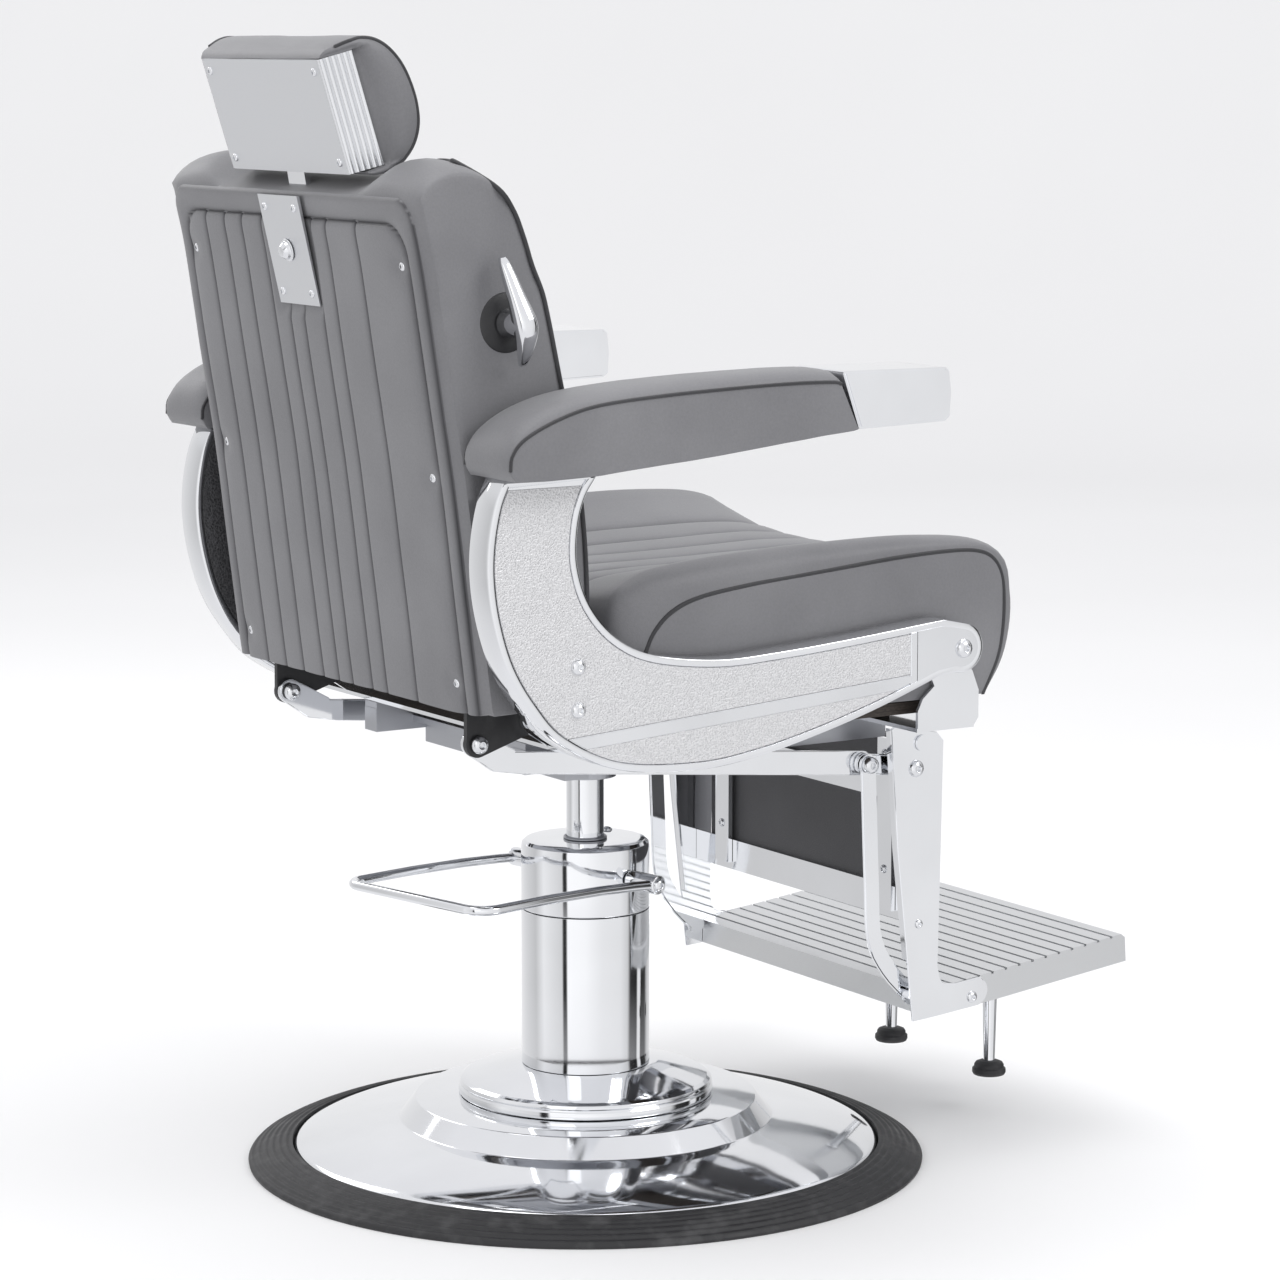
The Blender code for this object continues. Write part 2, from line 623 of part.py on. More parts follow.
def headrest_bracket():
    """The plate and lock bolt behind the headrest post."""
    foot, top = (0.3225, 0.8940), (0.3470, 1.0000)
    plate = [foot, top, (top[0] - 0.003, top[1]), (foot[0] - 0.0015, foot[1])]
    sheet("headrest_bracket", plate, -0.0410, 0.0410, SATIN)
    middle = Vector((0.0, 0.3352, 0.9470))
    out = Vector((0.0, 0.9743, -0.2252))
    lock = rod("headrest_lock_bolt", middle + out * GAP, middle + out * 0.0085, 0.0085, CHROME, 20)
    rounding = lock.modifiers.new("rounding", "BEVEL")
    rounding.width = 0.004
    rounding.segments = 3
    rounding.limit_method = "ANGLE"
    rounding.angle_limit = radians(60)


def handle():
    y, z = HANDLE_AXIS
    disc = rod("handle_escutcheon", (-BACK_HALF - GAP, y, z), (-BACK_HALF - 0.0045, y, z), 0.0290, BLACK_STEEL, 32)
    disc.modifiers.new("rounding", "BEVEL").width = 0.0015
    up = Vector((0.0, 0.2079, 0.9781))
    wing = [(-0.2720, 0.062), (-0.2800, 0.063), (-0.2960, 0.026), (-0.3060, 0.000), (-0.2990, -0.020),
            (-0.2800, -0.040), (-0.2720, -0.039), (-0.2830, -0.014), (-0.2840, 0.012), (-0.2790, 0.036)]
    blade = sheet("recline_handle", wing, -0.0100, 0.0100, CHROME)
    turn = Matrix(((1, 0, 0), (0, up.y, -up.z), (0, up.z, up.y)))
    blade.matrix_world = Matrix.Translation((0, y, z)) @ turn.to_4x4()
    hub = rod("join_hub", (-0.2636, y, z), (-0.2950, y, z), 0.0120, None, 20, CUTTERS)
    join(blade, hub)


# Headrest


def head_point(x, up, out):
    return HEAD_FOOT + HEAD_UP * up + HEAD_OUT * out + Vector((x, 0.0, 0.0))


def head_outline(points):
    """Outline points of (up, out) along the headrest, as (y, z)."""
    return [tuple(head_point(0.0, up, out).yz) for up, out in points]


def headrest():
    post = sheet("headrest_post", post_outline(0.0030, 0.800, 1.036), -0.0175, 0.0175, CHROME)
    knuckle = rod("join_knuckle", (-0.0175, *HEAD_PIVOT), (0.0175, *HEAD_PIVOT), 0.0085, None, 20, CUTTERS)
    join(post, knuckle)
    height, wall = 0.1125, 0.0020
    back_plate = sheet("headrest_plate", head_outline([(0, 0), (height, 0), (height, wall), (0, wall)]),
                       -0.1205, 0.1205, SATIN)
    mount = sheet("join_mount", head_outline([(0.003, 0.001), (0.030, 0.001), (0.021, 0.0245), (0.006, 0.0230)]),
                  -0.0290, 0.0290, None, CUTTERS)
    barrel = rod("join_barrel", (-0.0290, *HEAD_PIVOT), (0.0290, *HEAD_PIVOT), 0.0080, None, 20, CUTTERS)
    room = sheet("cut_knuckle_room", head_outline([(-0.010, 0.0024), (0.045, 0.0024), (0.045, 0.045), (-0.010, 0.045)]),
                 -0.0180, 0.0180, None, CUTTERS)
    join(back_plate, mount, barrel)
    cut(back_plate, room)
    headrest_sides(height)
    pad = [(height + 0.0020, 0.0030), (0.1225, 0.0120), (0.1240, 0.0436), (0.1156, 0.0560), (0.0948, 0.0760),
           (0.0636, 0.0830), (0.0335, 0.0820), (0.0101, 0.0680), (-0.0020, 0.0480), (-0.0030, 0.0306),
           (height + 0.0004, 0.0306), (height + 0.0004, 0.0030)]
    sheet("headrest_cushion", head_outline(pad), -0.1390, 0.1390, LEATHER, bevel=0.0012)


def headrest_sides(height):
    """A fluted panel on each end, flaring from the plate to the cushion."""
    flutes, deep = 6, 0.0300
    x_rear, x_front = 0.1212, 0.1330
    outer = []
    for i in range(flutes):
        for part, drop in ((0.08, 0.0), (0.62, 0.0), (0.74, 0.0018), (0.96, 0.0018)):
            t = (i + part) / flutes
            outer.append((x_rear + 0.0022 + (x_front - x_rear) * t - drop, deep * t))
    inner = [(x_front - 0.0015, deep), (x_rear - 0.0015 + 0.0012, 0.0)]
    for side, sign in sides():
        bm = bmesh.new()
        low = [bm.verts.new(head_point(sign * x, 0.0005, out)) for x, out in outer + inner]
        face = bm.faces.new(low)
        bmesh.ops.extrude_face_region(bm, geom=[face])
        bm.verts.ensure_lookup_table()
        moved = [v for v in bm.verts if v not in low]
        bmesh.ops.translate(bm, verts=moved, vec=HEAD_UP * (height - 0.001))
        if not bm.faces:
            raise RuntimeError("no faces")
        from_bmesh(f"headrest_side_{side}", bm, SATIN, smooth=False)


# Legrest


def push_rails():
    bend = (0.205, 0.4600)
    path_top = [(-0.195, 0.4335), (0.196, 0.4700)]
    outline = arc(RAIL_FRONT, 0.0125, 97, 277, 8)
    outline += [(0.190, 0.4475), (0.221, 0.4530)]
    outline += arc(RAIL_REAR, 0.0125, -50, 120, 8)
    outline += [(bend[0] - 0.009, 0.4715), path_top[1]]
    for side, sign in sides():
        rail = sheet(f"push_rail_{side}", outline, sign * RAIL_X[0], sign * RAIL_X[1], CHROME)
        for end, at in (("front", RAIL_FRONT), ("rear", RAIL_REAR)):
            cut(rail, pin_bore(f"cut_rail_{end}_{side}", at, 0.18, 0.21, 0.0054, sign))


def levers():
    for side, sign in sides():
        lever = sheet(f"crank_lever_{side}", capsule(RAIL_FRONT, LEVER_BOLT, 0.0110), sign * LEVER_X[0],
                      sign * LEVER_X[1], BLACK_STEEL)
        boss = rod(f"join_boss_{side}", (sign * 0.1990, *LEVER_BOLT), (sign * 0.2122, *LEVER_BOLT), 0.0100,
                   None, 16, CUTTERS)
        stud = rod(f"join_lever_stud_{side}", (sign * 0.1830, *RAIL_FRONT), (sign * 0.2060, *RAIL_FRONT), 0.0050,
                   None, 16, CUTTERS)
        join(lever, boss, stud)
        for end, (a, b) in (("in", (0.1820, 0.1865)), ("out", (0.2049, 0.2088))):
            join(lever, rod(f"join_lever_{end}_{side}", (sign * a, *RAIL_FRONT), (sign * b, *RAIL_FRONT), 0.0085,
                            None, 16, CUTTERS))


def braces():
    """The cranked bar from the push rail's pin to the foot of the side plate."""
    path = [RAIL_FRONT, (-0.2135, 0.395), (-0.2175, 0.300), (-0.2215, 0.240), (-0.2400, 0.205), BRACE_FOOT]
    web = band(smooth(path, 2), 0.0095)
    for side, sign in sides():
        brace = sheet(f"legrest_brace_{side}", web, sign * (BRACE_X[1] - 0.003), sign * BRACE_X[1], CHROME)
        for end, at in (("top", RAIL_FRONT), ("foot", BRACE_FOOT)):
            join(brace, rod(f"join_eye_{end}_{side}", (sign * (BRACE_X[1] - 0.0033), *at),
                            (sign * (BRACE_X[1] + 0.0002), *at), 0.0105, None, 24, CUTTERS))
        spacer = rod(f"join_brace_spacer_{side}", (sign * 0.2040, *BRACE_FOOT), (sign * 0.2122, *BRACE_FOOT),
                     0.0070, None, 16, CUTTERS)
        join(brace, spacer)
        cut(brace, pin_bore(f"cut_brace_{side}", RAIL_FRONT, 0.195, 0.215, 0.0054, sign))


def side_plates():
    front = [(-0.289, 0.450), (-0.298, 0.440), (-0.297, 0.385), (-0.296, 0.327), (-0.2935, 0.205)]
    toe = smooth([(-0.2935, 0.205), (-0.2985, 0.1885), (-0.316, 0.1835)], 3)[1:]
    foot = [(-0.351, 0.1870)] + arc((-0.343, 0.172), 0.0150, 120, 260, 6) + [(-0.290, 0.1520), (-0.262, 0.1500)]
    rear = [(-0.241, 0.333), (-0.232, 0.457), (-0.236, 0.4595)]
    outline = front + toe + foot + rear
    flange = band([(-0.2335, 0.457), (-0.2427, 0.333), (-0.2565, 0.215)], 0.0015)
    for side, sign in sides():
        plate = sheet(f"legrest_side_{side}", outline, sign * SIDE_X[0], sign * SIDE_X[1], CHROME)
        join(plate, sheet(f"join_flange_{side}", flange, sign * 0.2052, sign * (SIDE_X[0] + 0.001), None, CUTTERS))
        cut(plate, pin_bore(f"cut_side_{side}", LEG_PIVOT, 0.200, 0.220, 0.0058, sign))


def calf():
    top = block("calf_hanger", (-0.2121, -0.2785, 0.372), (0.2121, -0.2735, 0.398), CHROME)
    for side, sign in sides():
        x_from, x_to = sorted((sign * 0.1395, sign * 0.1655))
        join(top, block(f"join_strip_{side}", (x_from, -0.2740, 0.2560), (x_to, -0.2690, 0.4360), None,
                        collection=CUTTERS))
    block("calf_bottom_bar", (-0.2121, -0.2785, 0.2480), (0.2121, -0.2745, 0.2810), CHROME)
    block("calf_board", (-0.188, -0.2868, 0.2580), (0.188, -0.2788, 0.4360), CHARCOAL)
    block("calf_cushion", (-0.190, -0.3350, 0.2520), (0.190, -0.2872, 0.4360), LEATHER, bevel=0.012)


def tread_z(y):
    return 0.1835 + 0.1198 * (-0.316 - y)


def footplate():
    """A shallow pan, open below, with grooves across its tread."""
    rear, front, pitch, groove = -0.283, -0.536, 0.0174, 0.0032
    top = [(rear, tread_z(rear) - 0.002)]
    y = rear - 0.012
    while y - groove > front + 0.006:
        top += [(y, tread_z(y)), (y, tread_z(y) - 0.0022), (y - groove, tread_z(y - groove) - 0.0022),
                (y - groove, tread_z(y - groove))]
        y -= pitch
    top += [(front, tread_z(front)), (-0.5415, tread_z(front) - 0.004), (-0.5430, 0.1800)]
    outline = top + [(-0.374, 0.1600), (-0.300, 0.1520), (rear, 0.1520)]
    plate = sheet("footplate", outline, -FOOT_HALF, FOOT_HALF, SATIN)
    under = 0.0055
    inside = [(rear - 0.0028, tread_z(rear) - under), (-0.5385, tread_z(-0.5385) - under), (-0.5385, 0.12),
              (rear - 0.0028, 0.12)]
    cut(plate, sheet("cut_tread", inside, -FOOT_HALF + 0.0028, FOOT_HALF - 0.0028, None, CUTTERS))
    for side, sign in sides():
        x, y = sign * 0.0903, -0.4553
        pad = [(0.0, 0.0560), (0.0130, 0.0560), (0.0175, 0.0520), (0.0180, 0.0450), (0.0165, 0.0428), (0.0, 0.0428)]
        foot = turned(f"support_foot_{side}", pad, RUBBER, steps=24, closed=False)
        foot.location = (x, y, 0.0)
        leg = turned(f"join_leg_rod_{side}", [(0.0, 0.1930), (0.0125, 0.1930), (0.0125, 0.1900), (0.0065, 0.1880),
                     (0.0055, 0.0550), (0.0, 0.0550)], None, steps=16, closed=False, collection=CUTTERS)
        leg.location = (x, y, 0.0)
        join(foot, leg)


# Joints


def hang(names, at, title):
    """Parents the named objects to an empty on their joint's axis, leaving them where they are."""
    axis = bpy.data.objects.new(title, None)
    axis.empty_display_size = 0.03
    axis.location = at
    CHAIR.objects.link(axis)
    bpy.context.view_layer.update()
    for name in names:
        obj = bpy.data.objects[name]
        obj.parent = axis
        obj.matrix_parent_inverse = axis.matrix_world.inverted()
    return axis


def pair(name):
    return [f"{name}_right", f"{name}_left"]


def hang_all():
    hang(["pedal_bar", *pair("pedal_pin")], (0, 0, PEDAL_Z), "pedal_axis")
    hang(["pump_plunger", "plunger_spring"], (*plunger_place().xy, 0.205), "plunger_axis")
    hang(["ram"], (0, 0, 0.30), "lift_axis")
    seat = ["swivel_socket", "seat_frame", "front_seat_bracket", "rear_seat_bracket", "seat_board", "seat_cushion"]
    for name in ("arm_frame", "arm_inner_panel", "arm_pad", "arm_tip", "back_hinge_pin", "legrest_pivot_pin"):
        seat += pair(name)
    hang(seat, (0, 0, 0.44), "swivel_axis")
    hang(["back_frame", "back_cushion", "back_panel", "headrest_bracket", "headrest_lock_bolt", "handle_escutcheon"],
         (0, *BACK_PIVOT), "recline_axis")
    hang(["recline_handle"], (-0.28, *HANDLE_AXIS), "handle_axis")
    hang(["headrest_post"], (0, *POST_TOP), "post_axis")
    hang(["headrest_plate", *pair("headrest_side"), "headrest_cushion"], (0, *HEAD_PIVOT), "headrest_axis")
    hang(pair("push_rail"), (0, *RAIL_REAR), "rail_axis")
    legrest = ["calf_hanger", "calf_bottom_bar", "calf_board", "calf_cushion", "footplate"]
    for name in ("legrest_side", "crank_lever", "legrest_brace", "support_foot"):
        legrest += pair(name)
    hang(legrest, (0, *LEG_PIVOT), "legrest_axis")


def main():
    base()
    pump_shells()
    pump_inside()
    ram()
    pedal()
    plunger()
    swivel_socket()
    seat_frame()
    front_bracket()
    rear_bracket()
    hinge_pins()
    seat_soft()
    arm_frames()
    arm_pads()
    back_frame()
    back_soft()
    headrest_bracket()
    handle()
    headrest()
    push_rails()
    levers()
    braces()
    side_plates()
    calf()
    footplate()
    hang_all()


main()
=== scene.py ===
"""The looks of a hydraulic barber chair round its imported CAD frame: upholstery, metal, lights and camera."""

import json
from math import cos, hypot, pi, radians, sin

import bmesh
import bpy
import numpy as np
from mathutils import Matrix, Vector, noise


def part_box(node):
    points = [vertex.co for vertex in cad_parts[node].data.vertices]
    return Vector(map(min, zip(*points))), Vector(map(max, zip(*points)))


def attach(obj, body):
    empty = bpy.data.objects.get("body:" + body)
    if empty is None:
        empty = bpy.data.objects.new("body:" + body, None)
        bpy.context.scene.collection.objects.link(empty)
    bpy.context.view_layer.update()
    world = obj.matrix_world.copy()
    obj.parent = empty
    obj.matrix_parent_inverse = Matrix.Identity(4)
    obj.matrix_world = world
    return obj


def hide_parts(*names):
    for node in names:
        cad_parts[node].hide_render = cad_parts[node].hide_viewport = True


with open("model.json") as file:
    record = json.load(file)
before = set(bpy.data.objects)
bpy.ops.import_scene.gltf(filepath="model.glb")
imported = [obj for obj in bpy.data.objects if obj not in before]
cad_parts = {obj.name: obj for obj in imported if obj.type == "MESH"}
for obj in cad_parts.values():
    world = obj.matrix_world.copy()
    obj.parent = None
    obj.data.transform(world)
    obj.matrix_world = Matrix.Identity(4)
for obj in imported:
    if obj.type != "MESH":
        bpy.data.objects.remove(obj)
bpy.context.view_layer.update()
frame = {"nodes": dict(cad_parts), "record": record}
NODES = frame["nodes"]
SIDES = (("right", -1), ("left", 1))

# Sizes in metres that this script shares with the CAD
SEAT_HALF = 0.2745
BACK_HALF = 0.2588
ARM_IN, ARM_OUT = 0.283, 0.32
PAD_IN, PAD_OUT = 0.272, 0.357
PUMP_RADIUS = 0.0662
PEDAL_TURN = radians(12.3)
PEDAL_Z = 0.3
BACK_PIVOT = (0.1836, 0.5012)
RAIL_REAR, RAIL_FRONT = (0.2416, 0.4822), (-0.212, 0.421)
LEVER_BOLT, BRACE_FOOT = (-0.263, 0.414), (-0.268, 0.176)
# How far across the chair each sewn channel lies, on the rear panel and then on the seat and the back's front
CHANNELS = (0.178, 0.1375, 0.0995, 0.0566, 0.0244, -0.0045, -0.045, -0.0755, -0.136)
GROOVES = (-0.15, -0.09, -0.03, 0.03, 0.09, 0.15)
HANDLE_Y, HANDLE_Z = 0.244, 0.888
# The rear panel's screws: how far out and at what heights
PANEL_SCREW_X = 0.2135
PANEL_SCREW_ZS = (0.9404, 0.742, 0.5457)
BRACKET_FACING = (0, 0.9743, -0.2252)


# Materials


class Look:
    """A material and short ways to add nodes to it."""

    def __init__(self, name, colour, roughness, metallic=0.0, **sockets):
        self.material = bpy.data.materials.new(name)
        self.material.use_nodes = True
        self.tree = self.material.node_tree
        self.shader = self.tree.nodes["Principled BSDF"]
        self.shader.inputs["Base Color"].default_value = (*colour, 1.0)
        self.shader.inputs["Roughness"].default_value = roughness
        self.shader.inputs["Metallic"].default_value = metallic
        for socket, value in sockets.items():
            self.shader.inputs[socket.replace("_", " ")].default_value = value
        self.where = self.add("ShaderNodeTexCoord").outputs["Object"]

    def add(self, kind, **settings):
        node = self.tree.nodes.new(kind)
        for key, value in settings.items():
            setattr(node, key, value)
        return node

    def link(self, out, socket):
        self.tree.links.new(out, socket)

    def stretched(self, scale):
        node = self.add("ShaderNodeMapping")
        node.inputs["Scale"].default_value = scale
        self.link(self.where, node.inputs["Vector"])
        return node.outputs["Vector"]

    def noise(self, scale, detail=3.0, along=None, rough=0.5):
        node = self.add("ShaderNodeTexNoise")
        node.inputs["Scale"].default_value = scale
        node.inputs["Detail"].default_value = detail
        node.inputs["Roughness"].default_value = rough
        self.link(along or self.where, node.inputs["Vector"])
        return node.outputs["Fac"]

    def cells(self, scale, feature="F1"):
        node = self.add("ShaderNodeTexVoronoi", feature=feature)
        node.inputs["Scale"].default_value = scale
        self.link(self.where, node.inputs["Vector"])
        return node.outputs["Distance"]

    def ranged(self, out, low, high, new_low, new_high):
        node = self.add("ShaderNodeMapRange")
        for key, value in (("From Min", low), ("From Max", high), ("To Min", new_low), ("To Max", new_high)):
            node.inputs[key].default_value = value
        self.link(out, node.inputs["Value"])
        return node.outputs["Result"]

    def mixed(self, factor, first, second):
        node = self.add("ShaderNodeMix", data_type="RGBA")
        self.link(factor, node.inputs["Factor"])
        for socket, value in ((node.inputs[6], first), (node.inputs[7], second)):
            if isinstance(value, tuple):
                socket.default_value = (*value, 1.0)
            else:
                self.link(value, socket)
        return node.outputs[2]

    def sum(self, first, second, weight):
        node = self.add("ShaderNodeMath", operation="MULTIPLY_ADD")
        self.link(second, node.inputs[0])
        node.inputs[1].default_value = weight
        self.link(first, node.inputs[2])
        return node.outputs[0]

    def seam(self):
        return self.add("ShaderNodeAttribute", attribute_name="seam").outputs["Fac"]

    def colour(self, out):
        self.link(out, self.shader.inputs["Base Color"])

    def roughness(self, out):
        self.link(out, self.shader.inputs["Roughness"])

    def bump(self, out, strength, distance):
        node = self.add("ShaderNodeBump")
        node.inputs["Strength"].default_value = strength
        node.inputs["Distance"].default_value = distance
        self.link(out, node.inputs["Height"])
        self.link(node.outputs["Normal"], self.shader.inputs["Normal"])


def leatherette(name, dark, light, seam_shade_colour, roughness=0.46):
    """Fine pebbled grain, slow colour drift, painted shade darkening the sewn grooves and a little polish
    where it is rubbed.
    """
    look = Look(name, light, roughness, Sheen_Weight=0.12, Specular_IOR_Level=0.42)
    pebbles = look.cells(1150.0, "SMOOTH_F1")
    creases = look.noise(420.0, 4.0)
    drift = look.noise(7.0, 3.0)
    tone = look.sum(drift, creases, 0.35)
    body = look.mixed(look.ranged(tone, 0.45, 0.95, 0.0, 1.0), dark, light)
    # Painted shade: the colour is drawn towards a near-black wherever the mesh's stored groove shading is
    # high.
    look.colour(look.mixed(look.seam(), body, seam_shade_colour))
    look.roughness(look.ranged(look.sum(drift, pebbles, 0.5), 0.3, 1.1, roughness - 0.07, roughness + 0.12))
    look.bump(look.sum(pebbles, creases, 0.6), 0.3, 0.0005)
    return look.material


def polished(name, tint, low, high):
    """Bright plate with faint wiping haze and hairline scratches."""
    look = Look(name, tint, low, 1.0)
    haze = look.noise(9.0, 4.0)
    hair = look.noise(60.0, 2.0, look.stretched((1.0, 14.0, 14.0)))
    look.roughness(look.ranged(look.sum(haze, hair, 0.4), 0.4, 1.0, low, high))
    look.colour(look.mixed(look.ranged(haze, 0.3, 0.7, 0.0, 1.0), tint, tuple(c * 0.94 for c in tint)))
    look.bump(look.noise(5.0, 2.0), 0.05, 0.001)
    return look.material


def brushed(name, tint, stretch, low, high, strength=0.12):
    """Satin metal brushed along one axis."""
    look = Look(name, tint, low, 1.0)
    lines = look.noise(130.0, 4.0, look.stretched(stretch), 0.65)
    patches = look.noise(14.0, 2.0)
    look.colour(look.mixed(lines, tuple(c * 0.86 for c in tint), tint))
    look.roughness(look.ranged(look.sum(lines, patches, 0.5), 0.4, 1.1, low, high))
    look.bump(lines, strength, 0.0003)
    return look.material


def sanded(name, dark, light, metallic, roughness, scale, depth):
    """A cast or coated surface with a sandy texture."""
    look = Look(name, light, roughness, metallic)
    grains = look.cells(scale)
    fine = look.noise(scale * 0.9, 3.0)
    height = look.sum(grains, fine, 0.8)
    look.colour(look.mixed(look.ranged(height, 0.3, 1.1, 0.0, 1.0), dark, light))
    look.roughness(look.ranged(fine, 0.3, 0.7, roughness - 0.08, roughness + 0.1))
    look.bump(height, 0.9, depth)
    return look.material


def rubbery(name, colour, roughness, dust=0.06):
    look = Look(name, colour, roughness)
    scuff = look.noise(38.0, 5.0)
    fine = look.noise(700.0, 2.0)
    look.colour(look.mixed(look.ranged(scuff, 0.5, 0.8, 0.0, 1.0), colour, tuple(c + dust for c in colour)))
    look.roughness(look.ranged(scuff, 0.3, 0.7, roughness - 0.08, roughness + 0.12))
    look.bump(fine, 0.25, 0.0003)
    return look.material


def plywood():
    look = Look("stained_plywood", (0.05, 0.04, 0.035), 0.6)
    grain = look.noise(24.0, 5.0, look.stretched((1.0, 9.0, 30.0)), 0.6)
    plies = look.add("ShaderNodeTexWave", wave_type="BANDS", bands_direction="Z")
    plies.inputs["Scale"].default_value = 60.0
    look.link(look.where, plies.inputs["Vector"])
    body = look.mixed(look.ranged(grain, 0.35, 0.7, 0.0, 1.0), (0.035, 0.028, 0.024), (0.075, 0.06, 0.05))
    look.colour(look.mixed(look.ranged(plies.outputs["Fac"], 0.8, 1.0, 0.0, 0.5), body,
                           (0.018, 0.014, 0.012)))
    look.bump(grain, 0.2, 0.0004)
    return look.material


# The last colour given to each leatherette is the near-black of the painted shade in its sewn grooves.
GREY = leatherette("grey_leatherette", (0.178, 0.178, 0.188), (0.24, 0.24, 0.251), (0.045, 0.045, 0.05))
# Painted shade: the piping is real, but its near-black colour stands for the shadow line that runs along it.
SHADOW_PIPING = leatherette("piping_painted_shadow", (0.03, 0.03, 0.033), (0.055, 0.055, 0.06), (0.02, 0.02, 0.02), 0.4)
CHARCOAL = leatherette("charcoal_backing", (0.075, 0.075, 0.08), (0.11, 0.11, 0.117), (0.02, 0.02, 0.02),
                       0.55)
CHROME = polished("polished_chrome", (0.86, 0.87, 0.89), 0.035, 0.1)
BRIGHT = polished("polished_aluminium", (0.82, 0.83, 0.85), 0.12, 0.24)
SATIN = brushed("satin_aluminium", (0.78, 0.79, 0.81), (3.0, 40.0, 40.0), 0.3, 0.46)
TREAD = brushed("tread_aluminium", (0.76, 0.77, 0.78), (2.0, 30.0, 30.0), 0.26, 0.42)
ZINC = brushed("zinc_steel", (0.5, 0.51, 0.54), (6.0, 6.0, 30.0), 0.3, 0.48)
SAND = sanded("sand_cast_silver", (0.55, 0.55, 0.56), (0.8, 0.8, 0.81), 0.55, 0.42, 560.0, 0.0006)
BLACK_SAND = sanded("black_texture_coat", (0.012, 0.012, 0.014), (0.075, 0.075, 0.08), 0.0, 0.62, 420.0,
                    0.0009)
BLACK = rubbery("satin_black_steel", (0.022, 0.022, 0.024), 0.42, 0.02)
RUBBER = rubbery("black_rubber", (0.017, 0.017, 0.019), 0.55)
PLY = plywood()


# Shapes


def put(name, verts, faces, material, body, replaces=(), slot=None, smooth=True, sharp=32):
    mesh = bpy.data.meshes.new(name)
    mesh.from_pydata([tuple(v) for v in verts], [], [tuple(f) for f in faces])
    bm = bmesh.new()
    bm.from_mesh(mesh)
    bmesh.ops.remove_doubles(bm, verts=bm.verts, dist=0.000002)
    bmesh.ops.recalc_face_normals(bm, faces=bm.faces)
    bm.to_mesh(mesh)
    bm.free()
    if smooth:
        mesh.shade_smooth()
        mesh.set_sharp_from_angle(angle=radians(sharp))
    mesh.materials.append(material)
    obj = bpy.data.objects.new(name, mesh)
    bpy.context.scene.collection.objects.link(obj)
    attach(obj, body)
    if replaces:
        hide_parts(*([replaces] if isinstance(replaces, str) else replaces))
    return obj


def spline(points, count=None, per_span=10):
    """A smooth curve through the points, evenly resampled when count is given."""
    pts = np.array(points, float)
    ext = np.vstack([2 * pts[0] - pts[1], pts, 2 * pts[-1] - pts[-2]])
    t = np.linspace(0, 1, per_span, endpoint=False)[:, None]
    parts = []
    for i in range(len(pts) - 1):
        a, b, c, d = ext[i : i + 4]
        parts.append(0.5 * (2 * b + (c - a) * t + (2 * a - 5 * b + 4 * c - d) * t**2
                            + (3 * b - a - 3 * c + d) * t**3))
    fine = np.vstack(parts + [pts[-1:]])
    return evenly(fine, count) if count else fine


def evenly(points, count):
    points = np.asarray(points, float)
    steps = np.linalg.norm(np.diff(points, axis=0), axis=1)
    length = np.concatenate([[0.0], np.cumsum(steps)])
    want = np.linspace(0.0, length[-1], count)
    return np.stack([np.interp(want, length, points[:, i]) for i in range(points.shape[1])], 1)


def eased(low, high, value):
    t = np.clip((np.asarray(value, float) - low) / (high - low), 0.0, 1.0)
    return t * t * (3.0 - 2.0 * t)


def filleted(points, radius, closed=True, steps=4):
    """The outline with each corner rounded."""
    pts = [np.array(p, float) for p in points]
    count, found = len(pts), []
    for i, p in enumerate(pts):
        if not closed and i in (0, count - 1):
            found.append(p)
            continue
        a, b = pts[i - 1] - p, pts[(i + 1) % count] - p
        la, lb = np.linalg.norm(a), np.linalg.norm(b)
        cosine = np.clip(a @ b / (la * lb), -1, 1)
        if cosine < -0.97:
            found.append(p)
            continue
        cut = min(radius / max(np.tan(np.arccos(cosine) / 2), 0.05), 0.45 * la, 0.45 * lb)
        first, last = p + a / la * cut, p + b / lb * cut
        for k in range(steps + 1):
            t = k / steps
            found.append((1 - t) ** 2 * first + 2 * t * (1 - t) * p + t**2 * last)
    return found


def lathe(profile, steps=96, closed=True):
    """Vertices and faces of a profile of (radius, height) turned about Z."""
    verts, faces, rings = [], [], []
    for r, z in profile:
        if r < 1e-6:
            rings.append([len(verts)] * steps)
            verts.append((0.0, 0.0, z))
        else:
            rings.append(list(range(len(verts), len(verts) + steps)))
            verts += [(r * cos(2 * pi * k / steps), r * sin(2 * pi * k / steps), z) for k in range(steps)]
    spans = [(i, i + 1) for i in range(len(profile) - 1)] + ([(len(profile) - 1, 0)] if closed else [])
    for i, j in spans:
        for k in range(steps):
            m = (k + 1) % steps
            quad = [rings[i][k], rings[i][m], rings[j][m], rings[j][k]]
            face = [v for n, v in enumerate(quad) if v not in quad[:n]]
            if len(face) > 2:
                faces.append(face)
    return verts, faces


def turned(name, profile, material, body, radius=0.0, steps=144, closed=True, **more):
    shape = filleted(profile, radius, closed) if radius else profile
    return put(name, *lathe(shape, steps, closed), material, body, **more)


def moved(shape, matrix):
    verts, faces = shape
    return [tuple(matrix @ Vector(v)) for v in verts], faces


def stud(profile, radius, steps, at, normal):
    """A turned piece with eased edges, stood on a point and facing along normal."""
    return moved(lathe(filleted(profile, radius, False), steps, False), facing(at, normal))


def together(shapes):
    verts, faces = [], []
    for some, more in shapes:
        faces += [[i + len(verts) for i in f] for f in more]
        verts += list(some)
    return verts, faces


def facing(at, normal):
    """The matrix that takes +Z to normal and the origin to at."""
    turn = Vector(normal).normalized().to_track_quat("Z", "Y").to_matrix().to_4x4()
    return Matrix.Translation(at) @ turn


